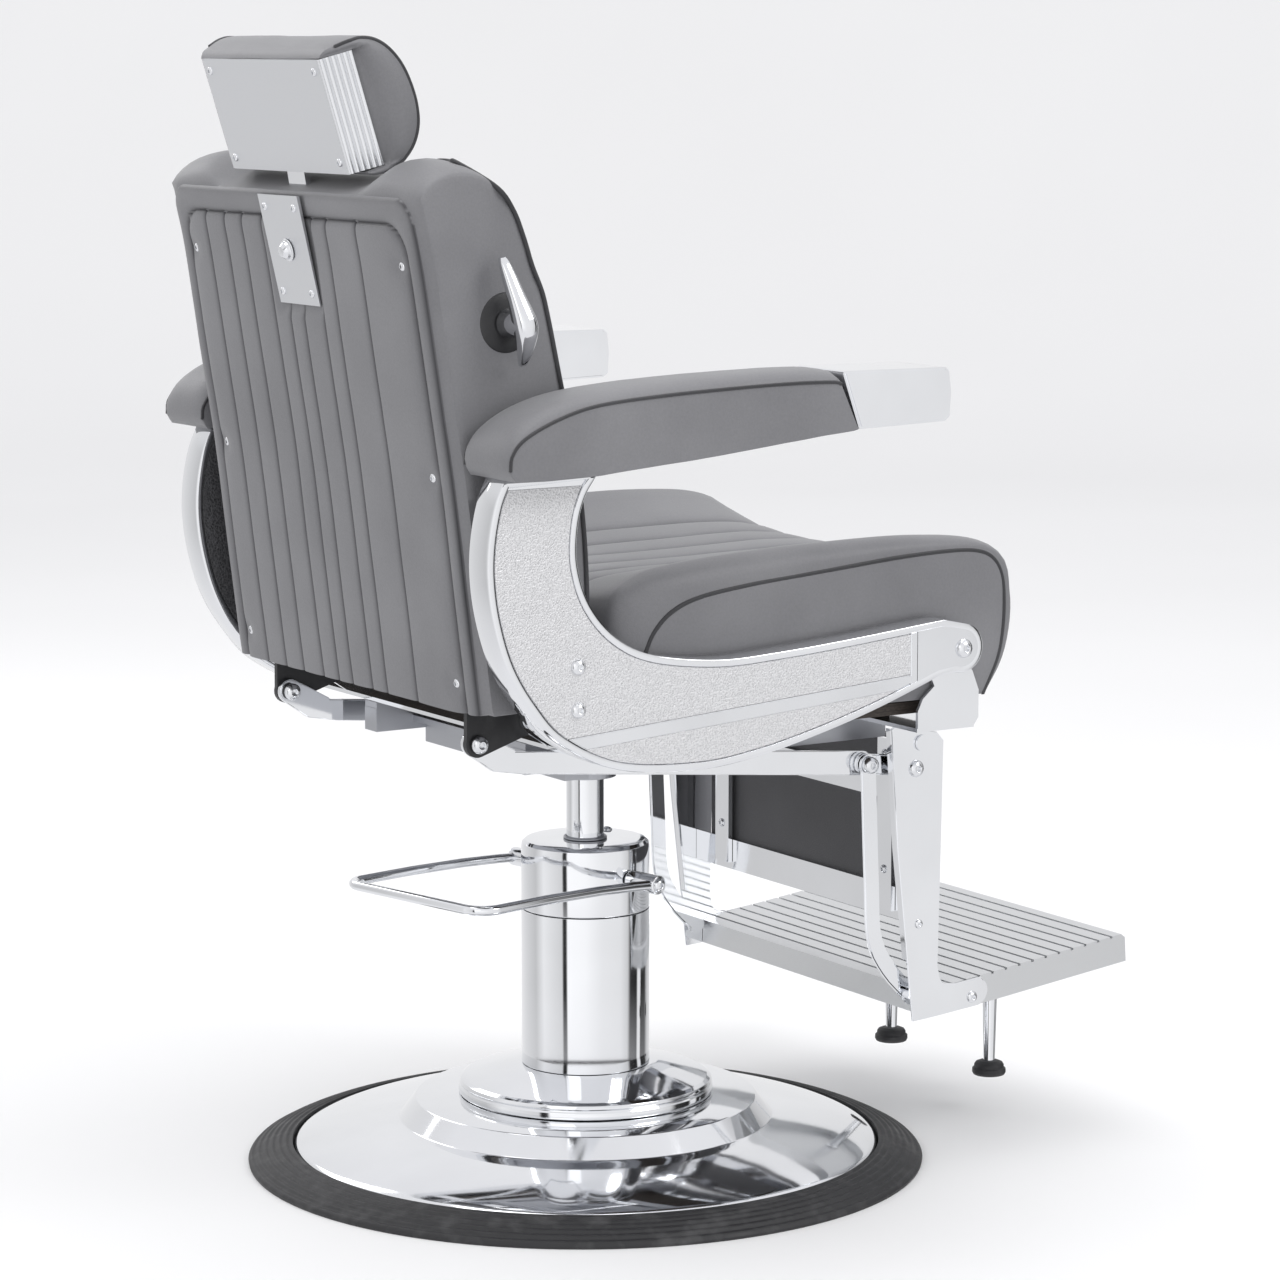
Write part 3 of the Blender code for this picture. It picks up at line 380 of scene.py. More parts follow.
def pipe(path, radius, sides=12, closed=False):
    """A round tube along 3-D points, with domed ends."""
    pts = np.asarray(path, float)
    count = len(pts)
    if closed:
        along = np.roll(pts, -1, 0) - np.roll(pts, 1, 0)
    else:
        along = np.gradient(pts, axis=0)
    along /= np.linalg.norm(along, axis=1)[:, None]
    side = np.cross(along[0], (0.3, 0.5, 0.8))
    verts, faces = [], []
    for p, t in zip(pts, along):
        side = side - t * (side @ t)
        side /= np.linalg.norm(side)
        other = np.cross(t, side)
        for k in range(sides):
            a = 2 * pi * k / sides
            verts.append(p + radius * (cos(a) * side + sin(a) * other))
    for i in range(count if closed else count - 1):
        j = (i + 1) % count
        for k in range(sides):
            m = (k + 1) % sides
            faces.append([i * sides + k, i * sides + m, j * sides + m, j * sides + k])
    if not closed:
        for ring, end, out in ((0, pts[0], -along[0]), (count - 1, pts[-1], along[-1])):
            tip = len(verts)
            verts.append(end + out * radius * 0.6)
            faces += [[ring * sides + k, ring * sides + (k + 1) % sides, tip] for k in range(sides)]
    return verts, faces


def slab(outline, x_from, x_to, bevel=0.0012, segments=3):
    """An outline of (y, z) points made a plate along X with rounded edges."""
    bm = bmesh.new()
    low, high = sorted((x_from, x_to))
    ring = [bm.verts.new((low, y, z)) for y, z in outline]
    face = bm.faces.new(ring)
    made = bmesh.ops.extrude_face_region(bm, geom=[face])
    lifted = [v for v in made["geom"] if isinstance(v, bmesh.types.BMVert)]
    bmesh.ops.translate(bm, verts=lifted, vec=(high - low, 0, 0))
    bmesh.ops.recalc_face_normals(bm, faces=bm.faces)
    if bevel:
        rims = [e for e in bm.edges if e.calc_face_angle(0.0) > radians(50)]
        bmesh.ops.bevel(bm, geom=rims, offset=bevel, segments=segments, affect="EDGES", clamp_overlap=True)
    bm.verts.index_update()
    verts = [tuple(v.co) for v in bm.verts]
    faces = [[v.index for v in f.verts] for f in bm.faces]
    bm.free()
    return verts, faces


def flat(name, outline, x_from, x_to, material, body, bevel=0.0012, segments=3, **more):
    return put(name, *slab(outline, x_from, x_to, bevel, segments), material, body, **more)


def arc(centre, radius, start, end, count=12):
    """Points on a circle about a (y, z) centre between two angles in degrees."""
    span = [radians(start + (end - start) * i / count) for i in range(count + 1)]
    return [(centre[0] + radius * cos(a), centre[1] + radius * sin(a)) for a in span]


def band(path, half_width):
    """A bar of even width along a path of (y, z) points."""
    left, right = [], []
    for i, point in enumerate(path):
        before, after = Vector(path[max(i - 1, 0)]), Vector(path[min(i + 1, len(path) - 1)])
        along = (after - before).normalized()
        left.append((point[0] - along.y * half_width, point[1] + along.x * half_width))
        right.append((point[0] + along.y * half_width, point[1] - along.x * half_width))
    return left + right[::-1]


def inset(outline, distance):
    """The outline moved inwards, held back where a corner is sharp."""
    pts = [np.array(p, float) for p in outline]
    count = len(pts)
    area = sum(pts[i][0] * pts[(i + 1) % count][1] - pts[(i + 1) % count][0] * pts[i][1]
               for i in range(count))
    side = distance if area > 0 else -distance
    found = []
    for i, p in enumerate(pts):
        a = (p - pts[i - 1]) / np.linalg.norm(p - pts[i - 1])
        b = (pts[(i + 1) % count] - p) / np.linalg.norm(pts[(i + 1) % count] - p)
        reach = side / max(1.0 + a @ b, 0.8)
        found.append((p[0] - (a[1] + b[1]) * reach, p[1] + (a[0] + b[0]) * reach))
    return found


def clipped(outline, keep):
    """The part of the outline where keep(point) is positive."""
    found = []
    for i, p in enumerate(outline):
        q = outline[(i + 1) % len(outline)]
        a, b = keep(p), keep(q)
        if a > 0:
            found.append(tuple(p))
        if a * b < 0:
            t = a / (a - b)
            found.append((p[0] + (q[0] - p[0]) * t, p[1] + (q[1] - p[1]) * t))
    return found


# Upholstery


def grid_pad(name, section, stations, bulge, material, body, replaces, crown=None, across=10, shape=None):
    """A padded form. section(x) gives its upper and lower curves, which share their ends, and bulge the swell
    of its side panels. crown(x, place) raises the upper curve and gives the painted shade along its sewn
    grooves, and shape(point) bends the whole form."""
    count = 72
    verts, faces, ends, seam_shades = [], [], [], []
    ring = 2 * count - 2
    for x in stations:
        upper, lower = section(x)
        upper, lower = evenly(upper, count), evenly(lower, count)
        if crown is not None:
            tangent = np.gradient(upper, axis=0)
            tangent /= np.linalg.norm(tangent, axis=1)[:, None]
            normal = np.stack([tangent[:, 1], -tangent[:, 0]], 1)
            if (upper.mean(0) - lower.mean(0)) @ normal[count // 2] < 0:
                normal = -normal
            # The crown's second value is painted shade along the sewn grooves.
            rise, dark = crown(x, np.linspace(0, 1, count))
            upper = upper + normal * rise[:, None]
        else:
            dark = np.zeros(count)
        loop = np.vstack([upper, lower[::-1][1:-1]])
        seam_shades += list(dark) + [0.0] * (count - 2)
        verts += [(x, y, z) for y, z in loop]
        ends.append((upper, lower))
    for k in range(len(stations) - 1):
        for i in range(ring):
            j = (i + 1) % ring
            faces.append([k * ring + i, k * ring + j, (k + 1) * ring + j, (k + 1) * ring + i])
    for station, sign in ((0, -1 if stations[0] < stations[-1] else 1), (len(stations) - 1, 1)):
        upper, lower = ends[station]
        grid = {}
        for i in range(count):
            for j in range(across + 1):
                if j == 0 or i in (0, count - 1):
                    grid[i, j] = station * ring + i
                elif j == across:
                    grid[i, j] = station * ring + ring - i
                else:
                    t, s = j / across, i / (count - 1)
                    y, z = upper[i] * (1 - t) + lower[i] * t
                    if callable(bulge):
                        out = bulge(t, s)
                    else:
                        out = bulge * (sin(pi * t) ** 0.55) * (sin(pi * s) ** 0.45)
                    grid[i, j] = len(verts)
                    verts.append((stations[station] + sign * out, y, z))
                    seam_shades.append(0.0)
        for i in range(count - 1):
            for j in range(across):
                quad = [grid[i, j], grid[i + 1, j], grid[i + 1, j + 1], grid[i, j + 1]]
                face = [v for n, v in enumerate(quad) if v not in quad[:n]]
                if len(face) > 2:
                    faces.append(face)
    if shape:
        verts = [shape(*v) for v in verts]
    return soften(name, verts, faces, seam_shades, material, body, replaces)


def soften(name, verts, faces, seam_shades, material, body, replaces, amount=0.0006):
    """The piece with slow, slight hand-made unevenness, and the painted shade of its sewn grooves stored for
    the material.
    """
    def drift(point, scale, *shifts):
        return Vector([noise.noise(point * scale + Vector(shift)) for shift in ((0, 0, 0), *shifts)])

    uneven = []
    for vert in verts:
        p = Vector(vert)
        slow = drift(p, 9, (5, 1, 2), (1, 7, 3))
        fine = drift(p, 31, (2, 2, 9), (8, 1, 3))
        uneven.append(p + slow * amount * 1.6 + fine * amount * 0.5)
    obj = put(name, uneven, faces, material, body, replaces, "grey_leatherette", sharp=58)
    store = obj.data.attributes.new("seam", "FLOAT", "POINT")
    if len(store.data) == len(seam_shades):
        store.data.foreach_set("value", np.array(seam_shades, np.float32))
    return obj


def stations_for(half, grooves=(), edge=0.026, middle=26):
    """X positions from -half to half, closer together at the edges and at each sewn groove."""
    found = set(np.round(np.linspace(-half + edge, half - edge, middle), 5))
    for k in range(9):
        x = half - edge * (1 - cos(pi / 2 * k / 8))
        found |= {round(x, 5), round(-x, 5)}
    for g in grooves:
        found |= {round(g + s * d, 5) for s in (-1, 1) for d in (0.0005, 0.0014, 0.0028, 0.005, 0.009)}
    return sorted(x for x in found if -half <= x <= half)


def channelled(grooves, puff, depth, start=0.06, stop=0.94):
    """A crown for grid_pad with sewn channels between its two ends."""
    lines = sorted(grooves)

    def crown(x, s):
        nearest = min(abs(x - g) for g in lines)
        room = eased(start - 0.05, start, s) * (1 - eased(stop, stop + 0.05, s))
        inside = lines[0] - 0.04 < x < lines[-1] + 0.04
        valley = np.exp(-nearest / 0.0018)
        swell = puff * (1 - np.exp(-nearest / 0.01)) if inside else puff
        # The second value is painted shade: darkness along each sewn groove, used for the leather's colour.
        return room * (swell - depth * valley), room * np.exp(-nearest / 0.0013)

    return crown


SEAT_SIDE = [(0.1, 0.495), (0.106, 0.53), (0.101, 0.567), (0.09, 0.588), (0.07, 0.606), (0.038, 0.618),
             (-0.019, 0.626), (-0.078, 0.631), (-0.137, 0.636), (-0.197, 0.641), (-0.258, 0.6435),
             (-0.293, 0.6415), (-0.313, 0.633), (-0.324, 0.616), (-0.3275, 0.591), (-0.3262, 0.56),
             (-0.3195, 0.53), (-0.302, 0.496)]
SEAT_ROLL = [(0.127, 0.4945), (0.132, 0.535), (0.133, 0.585), (0.13, 0.61), (0.12, 0.628), (0.09, 0.639),
             (0.03, 0.6475), (-0.04, 0.652), (-0.1, 0.6545), (-0.165, 0.656), (-0.225, 0.6555),
             (-0.285, 0.651), (-0.32, 0.6395), (-0.3385, 0.616), (-0.3465, 0.585), (-0.3435, 0.552),
             (-0.3325, 0.522), (-0.312, 0.4955)]
SEAT_MIDDLE = [(0.129, 0.4945), (0.134, 0.535), (0.135, 0.575), (0.132, 0.598), (0.121, 0.611),
               (0.085, 0.618), (0.03, 0.62), (-0.04, 0.621), (-0.1, 0.622), (-0.165, 0.623),
               (-0.225, 0.624), (-0.284, 0.621), (-0.325, 0.61), (-0.346, 0.59), (-0.353, 0.566),
               (-0.349, 0.542), (-0.337, 0.518), (-0.314, 0.4955)]


def seat_section(x):
    a = abs(x)
    if a > 0.25:
        u = (SEAT_HALF - a) / (SEAT_HALF - 0.25)
        w = (1 - (1 - u) ** 2) ** 0.5
        points = np.array(SEAT_SIDE) * (1 - w) + np.array(SEAT_ROLL) * w
    else:
        w = 1 - (a / 0.25) ** 2.6
        points = np.array(SEAT_ROLL) * (1 - w) + np.array(SEAT_MIDDLE) * w
    upper = spline(points, 72)
    return upper, np.stack([upper[0], upper[-1]])


def edge_piping(name, curve, half, radius, body):
    """Piping along a side edge on both sides."""
    shapes = [pipe([(sign * (half - 0.0006), y, z) for y, z in curve], radius, 10) for sign in (-1, 1)]
    put(name, *together(shapes), SHADOW_PIPING, body, slot="grey_leatherette")


def seat():
    crown = channelled(GROOVES, 0.0045, 0.0065, 0.24, 0.8)
    made = grid_pad("seat_pad", seat_section, stations_for(SEAT_HALF, GROOVES), 0.003, GREY, "seat",
                    "seat_cushion", crown, across=12)
    edge_piping("seat_piping", spline(SEAT_SIDE[2:], 140), SEAT_HALF, 0.0023, "seat")


# The back


REAR_FACE = [(0.267, 0.5185), (0.2707, 0.546), (0.2835, 0.65), (0.2948, 0.742), (0.3105, 0.842),
             (0.3257, 0.94), (0.3345, 0.98), (0.3398, 1.004)]
BACK_FRONT = [(0.212, 0.5195), (0.184, 0.52), (0.166, 0.5235), (0.1585, 0.56), (0.1565, 0.62), (0.16, 0.69),
              (0.1695, 0.76), (0.1845, 0.827), (0.2025, 0.907), (0.2135, 0.949), (0.2305, 0.996),
              (0.248, 1.024), (0.275, 1.0375), (0.3, 1.0385), (0.322, 1.03), (0.337, 1.014)]
BACK_LOW = [*BACK_FRONT[:6],
            (0.171, 0.76), (0.188, 0.827), (0.2065, 0.907), (0.218, 0.949), (0.233, 0.987), (0.246, 1.008),
            (0.268, 1.0205), (0.292, 1.0205), (0.316, 1.012), (0.336, 1.0035)]


def back_section(x):
    a = abs(x)
    dip = 1 - float(eased(0.124, 0.192, a))
    points = np.array(BACK_FRONT) * (1 - dip) + np.array(BACK_LOW) * dip
    points[2:12, 0] += 0.01 * (1 - (a / BACK_HALF) ** 2)
    edge, corner = (min(1.0, max(0.0, 1 - (BACK_HALF - a) / wide)) for wide in (0.022, 0.085))
    points[9:, 1] -= 0.015 * (1 - (1 - corner**2) ** 0.5)
    rear = np.array([*REAR_FACE[:-1], (0.3385, 0.998)])
    rear[:, 0] -= 0.0015 + 0.006 * edge**2
    upper = spline(np.vstack([points, [[0.3375 - 0.004 * edge, 1.004]]]), 72)
    lower = np.vstack([[points[0]], [[0.245, 0.519]], rear, [upper[-1]]])
    return upper, lower


def rear_at(z):
    """How far back the rear panel lies at a height."""
    fine = spline(REAR_FACE, 400)
    return float(np.interp(z, fine[:, 1], fine[:, 0]))


def back():
    crown = channelled(GROOVES, 0.003, 0.0045, 0.1, 0.66)
    body = grid_pad("back_pad", back_section, stations_for(BACK_HALF, GROOVES, 0.022, 34), 0.0014, GREY,
                    "back", "back_cushion", crown, across=14)
    back_piping()
    rear_panel()


def back_piping():
    """Piping up one side of the front panel, over the top and down the other side."""
    edge = back_section(BACK_HALF)[0]
    crest = int(np.argmax(edge[:, 1] - 0.3 * edge[:, 0]))
    side = [(BACK_HALF + 0.0008, y - 0.0004, z) for y, z in edge[:crest - 1] if z > 0.56]
    across = []
    for x in np.linspace(BACK_HALF - 0.01, 0.01 - BACK_HALF, 80):
        upper = back_section(x)[0]
        y, z = upper[np.argmax(upper[:, 1] - 0.3 * upper[:, 0])]
        across.append((x, y, z + 0.0008))
    other = [(-x, y, z) for x, y, z in side[::-1]]
    loop = evenly(spline(side[::3] + across[::4] + other[::3]), 420)
    put("back_piping", *pipe(loop, 0.0023, 10), SHADOW_PIPING, "back", slot="grey_leatherette")


def rounded_depth(x, down, half, top, radius):
    """How far inside a panel with rounded upper corners a point lies."""
    a, b = abs(x) - (half - radius), radius - (down - top)
    if a > 0 and b > 0:
        return radius - hypot(a, b)
    return min(half - abs(x), down - top)


def rear_panel():
    """The channelled rear panel and the plain border that is sewn round it."""
    outer_half, inner_half, border = 0.2455, 0.2262, 0.025
    xs = set(np.round(np.linspace(-outer_half - 0.004, outer_half + 0.004, 70), 5))
    for g in CHANNELS + (-inner_half, inner_half, -outer_half, outer_half):
        xs |= {round(g + d, 5) for d in (-0.007, -0.004, -0.0022, -0.001, 0, 0.001, 0.0022, 0.004, 0.007)}
    xs = sorted(xs)
    line = spline(REAR_FACE, 600)
    length = np.concatenate([[0], np.cumsum(np.linalg.norm(np.diff(line, axis=0), axis=1))])
    total = length[-1]
    downs = set(np.round(np.linspace(0, total, 110), 5))
    for g in (0.0015, border + 0.0015):
        downs |= {round(g + d, 5) for d in (-0.001, 0.001, 0.0022, 0.004, 0.007, 0.01, 0.014, 0.019) if g
                  + d > 0}
    downs = sorted(downs, reverse=True)
    screws = [(s * PANEL_SCREW_X, z) for s in (-1, 1) for z in PANEL_SCREW_ZS]
    verts, seam_shades = [], []
    for down in downs:
        at = total - down
        y, z = (float(np.interp(at, length, line[:, i])) for i in (0, 1))
        ya, za = (float(np.interp(min(at + 0.004, total), length, line[:, i])) for i in (0, 1))
        yb, zb = (float(np.interp(max(at - 0.004, 0), length, line[:, i])) for i in (0, 1))
        slope = hypot(ya - yb, za - zb)
        ny, nz = (za - zb) / slope, -(ya - yb) / slope
        for x in xs:
            out = rounded_depth(x, down, outer_half, 0.001, 0.024)
            inner = rounded_depth(x, down, inner_half, border, 0.03)
            # dark is painted shade along the border's sewn lines and the channels, stored for the leather's
            # colour.
            dark = 0.0
            if out < 0:
                h = -0.001 + 2.5 * out
            elif inner < 0:
                t = out / (out - inner)
                h = 0.0042 * max(sin(pi * min(max(t, 0), 1)), 0) ** 0.5 - 0.0006
                dark = np.exp(-out / 0.0022) + np.exp(inner / 0.0024)
            else:
                near = min(abs(x - g) for g in CHANNELS)
                h = 0.005 * (1 - np.exp(-inner / 0.0055)) - 0.003 * np.exp(-inner / 0.0012)
                h += 0.001 * (1 - np.exp(-near / 0.01)) - 0.0024 * np.exp(-near / 0.0018)
                dark = np.exp(-inner / 0.0022) + np.exp(-near / 0.0015)
                for sx, sz in screws:
                    h -= 0.0036 * np.exp(-(((x - sx) ** 2 + (z - sz) ** 2) / 0.01**2))
                h += 0.0007 * noise.noise(Vector((x * 16, z * 7, 3.0)))
            if abs(x) < 0.05 and z > 0.88:
                press = (1 - float(eased(0.04, 0.05, abs(x)))) * float(eased(0.88, 0.892, z))
                h = h * (1 - press) + min(h, 0.0016) * press
            if down < 0.0035:
                h = min(h, -0.001 + down)
            verts.append((x, y + ny * h, z + nz * h))
            seam_shades.append(min(1.0, float(dark)))
    wide = len(xs)
    faces = [[r * wide + c, r * wide + c + 1, (r + 1) * wide + c + 1, (r + 1) * wide + c]
             for r in range(len(downs) - 1) for c in range(wide - 1)]
    # A skin 8 mm in front closes the panel into a solid pad.
    count = len(verts)
    verts += [(x, y - 0.008, z - 0.0005) for x, y, z in verts[:count]]
    seam_shades += [0.0] * count
    faces += [[i + count for i in reversed(f)] for f in faces]
    rows = len(downs)
    rim = list(range(wide)) + [r * wide + wide - 1 for r in range(1, rows)]
    rim += [(rows - 1) * wide + c for c in range(wide - 2, -1, -1)] + [r * wide
                                                                       for r in range(rows - 2, 0, -1)]
    for k, a in enumerate(rim):
        b = rim[(k + 1) % len(rim)]
        faces.append([a, b, b + count, a + count])
    made = soften("back_rear_panel", verts, faces, seam_shades, GREY, "back", "back_panel", 0.0003)


# Headrest


HEAD_FOOT = Vector((0.0, 0.3319, 1.022))
HEAD_UP = Vector((0.0, 0.297, 0.9549))
HEAD_OUT = Vector((0.0, -0.9549, 0.297))
HEAD_HALF = 0.1375
HEAD_CENTRE = np.array([0.058, 0.03])
HEAD_UPPER = [(0.1128, 0.0008), (0.115, 0.002), (0.1188, 0.007), (0.122, 0.016), (0.1236, 0.029),
              (0.123, 0.042), (0.117, 0.056), (0.105, 0.068), (0.087, 0.077), (0.066, 0.0812),
              (0.044, 0.0815), (0.024, 0.077), (0.008, 0.0665), (-0.0025, 0.052), (-0.0062, 0.04),
              (-0.0066, 0.029), (-0.0052, 0.0175), (-0.0012, 0.014)]
HEAD_LOWER = [(0.1128, 0.0008), (0.1126, 0.03), (0.0008, 0.03), (-0.0012, 0.014)]


def head(up, out, x=0.0):
    """A point by its distance up the headrest's plate and out from it."""
    return HEAD_FOOT + HEAD_UP * up + HEAD_OUT * out + Vector((x, 0.0, 0.0))


def head_outline(points):
    return [head(up, out).yz[:] for up, out in points]


def head_section(x):
    a = abs(x) / HEAD_HALF
    swell = (1 - min(1.0, max(0.0, (a - 0.84) / 0.16)) ** 2) ** 0.5
    points = np.array(HEAD_UPPER)
    points[3:-3] = HEAD_CENTRE + (points[3:-3] - HEAD_CENTRE) * (0.965 + 0.035 * swell)
    curve = spline(points, 72)
    return np.array(head_outline(curve)), np.array(head_outline(HEAD_LOWER))


def head_flare(x, y, z):
    """Narrower towards the plate, let in behind the fluted ends, and notched round the post."""
    offset = Vector((0.0, y, z)) - HEAD_FOOT
    out, up = offset.dot(HEAD_OUT), offset.dot(HEAD_UP)
    scale = 1 - 0.1 * min(1.0, max(0.0, (0.0315 - out) / 0.0315))
    if 0.0005 < up < 0.1122:
        scale -= 0.05 * float(eased(0.05, 0.031, out)) * (abs(x) > 0.132)
    if abs(x) < 0.034 and up < 0.006 and 0.0135 < out < 0.029:
        room = (0.0275 + 0.1 * (out - 0.014) - out) * (1 - float(eased(0.028, 0.034, abs(x))))
        y, z = y + HEAD_OUT.y * room, z + HEAD_OUT.z * room
    return x * scale, y, z


def headrest():
    def swell(t, s):
        return 0.0045 * sin(pi * min(1.0, t * 1.35)) * sin(pi * s) ** 0.5

    pad = grid_pad("headrest_pad", head_section, stations_for(HEAD_HALF, (), 0.016, 30), swell, GREY,
                   "headrest", "headrest_cushion", across=14, shape=head_flare)
    edge = spline([HEAD_CENTRE + (np.array(p) - HEAD_CENTRE) * 0.968 for p in HEAD_UPPER[3:-2]], 120)
    shapes = []
    for sign in (-1, 1):
        path = [head_flare(sign * (HEAD_HALF - 0.0006), *head(up, out).yz) for up, out in edge]
        shapes.append(pipe(path, 0.002, 10))
    put("headrest_piping", *together(shapes), SHADOW_PIPING, "headrest", slot="grey_leatherette")
    plate = head_outline([(0, 0), (0.1125, 0), (0.1125, 0.002), (0, 0.002)])
    cheek = head_outline([(0.003, 0.001), (0.03, 0.001), (0.021, 0.0245), (0.006, 0.023)])
    shapes = [slab(plate, -0.1205, 0.1205, 0.0007, 2)]
    shapes += [slab(cheek, sign * 0.0181, sign * 0.029, 0.001, 2) for sign in (-1, 1)]
    pin = [(0.0, 0.029), (0.008, 0.029), (0.008, 0.0181), (0.0, 0.0181)]
    shapes += [stud(pin, 0.0008, 32, Vector(joint_place("headrest_tilt")), (sign, 0, 0)) for sign in (-1, 1)]
    put("headrest_back_plate", *together(shapes), SATIN, "headrest", "headrest_plate", "satin_aluminium",
        sharp=40)
    flutes()
    spots = [(sx * 0.1085, up) for sx in (-1, 1) for up in (0.012, 0.1005)]
    screws("headrest_screws", [(head(up, -0.0002, x), -HEAD_OUT) for x, up in spots], 0.0042, "headrest")


def joint_place(name):
    """Where the record puts a joint."""
    return next(j["pos_m"] for j in frame["record"]["behaviour"]["joints"] if j["name"] == name)


def flutes():
    """The polished fluted panel at each end, from the plate forward to the cushion."""
    count, deep, height = 6, 0.0315, 0.1125
    x_rear, x_front = 0.1212, 0.1345
    loop = []
    for i in range(count):
        for k in range(9):
            t = (i + k / 9) / count
            ridge = 0.0018 * abs(sin(pi * k / 9)) ** 0.8
            loop.append((x_rear + (x_front - x_rear) * t + ridge, deep * t))
    loop += [(x_front, deep), (x_front - 0.0016, deep), (x_rear - 0.0016, 0.0)]
    n = len(loop)
    for side, sign in SIDES:
        verts = [head(up, out, sign * x) for up in (0.0008, height) for x, out in loop]
        faces = [[i, (i + 1) % n, n + (i + 1) % n, n + i] for i in range(n)]
        faces += [list(range(n)), list(range(2 * n - 1, n - 1, -1))]
        put(f"fluted_end_{side}", verts, faces, BRIGHT, "headrest", f"headrest_side_{side}",
            "satin_aluminium", sharp=40)


# Arms


def arm_outline():
    outer = [(0.281, 0.7485), (0.291, 0.725), (0.298, 0.69), (0.299, 0.655), (0.293, 0.615), (0.279, 0.572),
             (0.255, 0.533), (0.221, 0.497), (0.157, 0.467), (0.067, 0.459), (-0.002, 0.466), (-0.072, 0.481),
             (-0.143, 0.501), (-0.215, 0.526)]
    tip = [(-0.243 + 0.0252 * cos(radians(a)), 0.5525 + 0.0252 * sin(radians(a)))
           for a in range(-72, -282, -15)]
    inner = [(-0.22, 0.5828), (-0.106, 0.572), (-0.024, 0.566), (0.045, 0.564), (0.118, 0.574), (0.16, 0.594),
             (0.189, 0.626), (0.2025, 0.664), (0.202, 0.7), (0.194, 0.728), (0.18, 0.7485)]
    first = [tuple(p) for p in spline(outer, per_span=6)]
    return first + tip + [tuple(p) for p in spline(inner, per_span=6)]


def arms():
    outline = arm_outline()
    whole = clipped(inset(outline, 0.008), below_top)
    sand = clipped(whole, lambda p: p[0] + 0.185)
    strip = clipped(clipped(sand, lambda p: -band_line(p, 0.0)), lambda p: band_line(p, -0.0135))
    edge = inset(outline, 0.0062)
    lip = clipped(clipped(edge, lambda p: -0.18 - p[0]), lambda p: p[0] + 0.188)
    boss = clipped(edge, lambda p: -0.1884 - p[0])
    # Each raised or sunk field on the outer face: its outline, how far under the face, and its edge
    fields = [("sand_upper", inset(clipped(sand, lambda p: band_line(p, 0.0)), 0.0003), 0.0012, SAND,
               0.0003, 1),
              ("sand_lower", inset(clipped(sand, lambda p: -band_line(p, -0.0135)), 0.0003), 0.0012, SAND,
               0.0003, 1),
              ("flash", inset(strip, 0.0001), 0.0004, BRIGHT, 0.0009, 3),
              ("lip", lip, 0.0, BRIGHT, 0.0011, 3),
              ("boss", boss, 0.0003, BRIGHT, 0.0012, 3)]
    # Bolt heads: their place, radius and how far under the face
    heads = [(-0.244, 0.552, 0.0094, 0.0), (0.202, 0.569, 0.0078, 0.0012), (0.202, 0.528, 0.0078, 0.0012)]
    for side, sign in SIDES:
        x_in, x_out = sign * ARM_IN, sign * ARM_OUT
        core = flat(f"arm_core_{side}", inset(outline, 0.003), x_in + sign * 0.003, x_out - sign * 0.0026,
                    CHROME, "seat", 0.0004, 1, slot="chrome")
        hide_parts(f"arm_frame_{side}")
        rim(side, sign, outline)
        for tag, field, sunk, material, bevel, segments in fields:
            flat(f"arm_{tag}_{side}", field, x_out - sign * 0.003, x_out - sign * sunk, material, "seat",
                 bevel, segments, slot="chrome")
        lining = flat(f"arm_lining_{side}", clipped(inset(outline, 0.0082), below_top), x_in + sign * 0.0006,
                      x_in + sign * 0.0034, BLACK_SAND, "seat", 0.0004, 1, slot="textured_black")
        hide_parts(f"arm_inner_panel_{side}")
        places = [((x_out + sign * 0.0002 - sign * sunk, y, z), (sign, 0, 0)) for y, z, _, sunk in heads]
        screws(f"arm_bolts_{side}", places, None, "seat", sizes=[head[2] for head in heads])
        arm_pad(side, sign)


def below_top(p):
    """Positive where an inset outline is clear of the arm's sharp top corners."""
    return 0.739 - p[1]


def band_line(p, offset):
    """Positive above the polished diagonal band's edge."""
    return p[1] - (0.517 - 0.077 * p[0] + offset) - 0.0035 * sin((p[0] + 0.17) * 7.6)


def rim(side, sign, outline):
    """The polished rounded edge all round the arm's casting."""
    section = [(0.0058, ARM_IN), (0.0022, ARM_IN), (0.0007, ARM_IN + 0.0007), (0.0, ARM_IN + 0.0024)]
    section += [(0.0, ARM_OUT - 0.0024), (0.0007, ARM_OUT - 0.0007), (0.0022, ARM_OUT), (0.0056, ARM_OUT)]
    section += [(0.007, ARM_OUT - 0.0006), (0.008, ARM_OUT - 0.0022), (0.008, ARM_IN + 0.0022)]
    section += [(0.0072, ARM_IN + 0.0006)]
    lips = [[(sign * x, y, z) for y, z in inset(outline, depth)] for depth, x in section]
    n, m = len(lips), len(outline)
    verts = [v for ring in lips for v in ring]
    faces = [[i * m + k, i * m + (k + 1) % m, ((i + 1) % n) * m + (k + 1) % m, ((i + 1) % n) * m + k]
             for i in range(n) for k in range(m)]
    put(f"arm_rim_{side}", verts, faces, CHROME, "seat", slot="chrome", sharp=34)


PAD_EDGE = [(0.29, 0.75), (0.296, 0.76), (0.294, 0.774), (0.28, 0.789), (0.245, 0.805),
            (0.202, 0.816), (0.13, 0.822), (0.048, 0.8255), (-0.02, 0.827), (-0.061, 0.8262),
            (-0.069, 0.824)]
PAD_CREST = [(0.29, 0.75), (0.299, 0.763), (0.296, 0.782), (0.281, 0.801), (0.25, 0.817),
             (0.202, 0.8275), (0.13, 0.8335), (0.048, 0.837), (-0.02, 0.8385), (-0.061, 0.8375),
             (-0.069, 0.833)]
PAD_UNDER = [(0.29, 0.75), (0.202, 0.7512), (0.1, 0.76), (0.0, 0.7702), (-0.09, 0.7795),
             (-0.069, 0.824)]


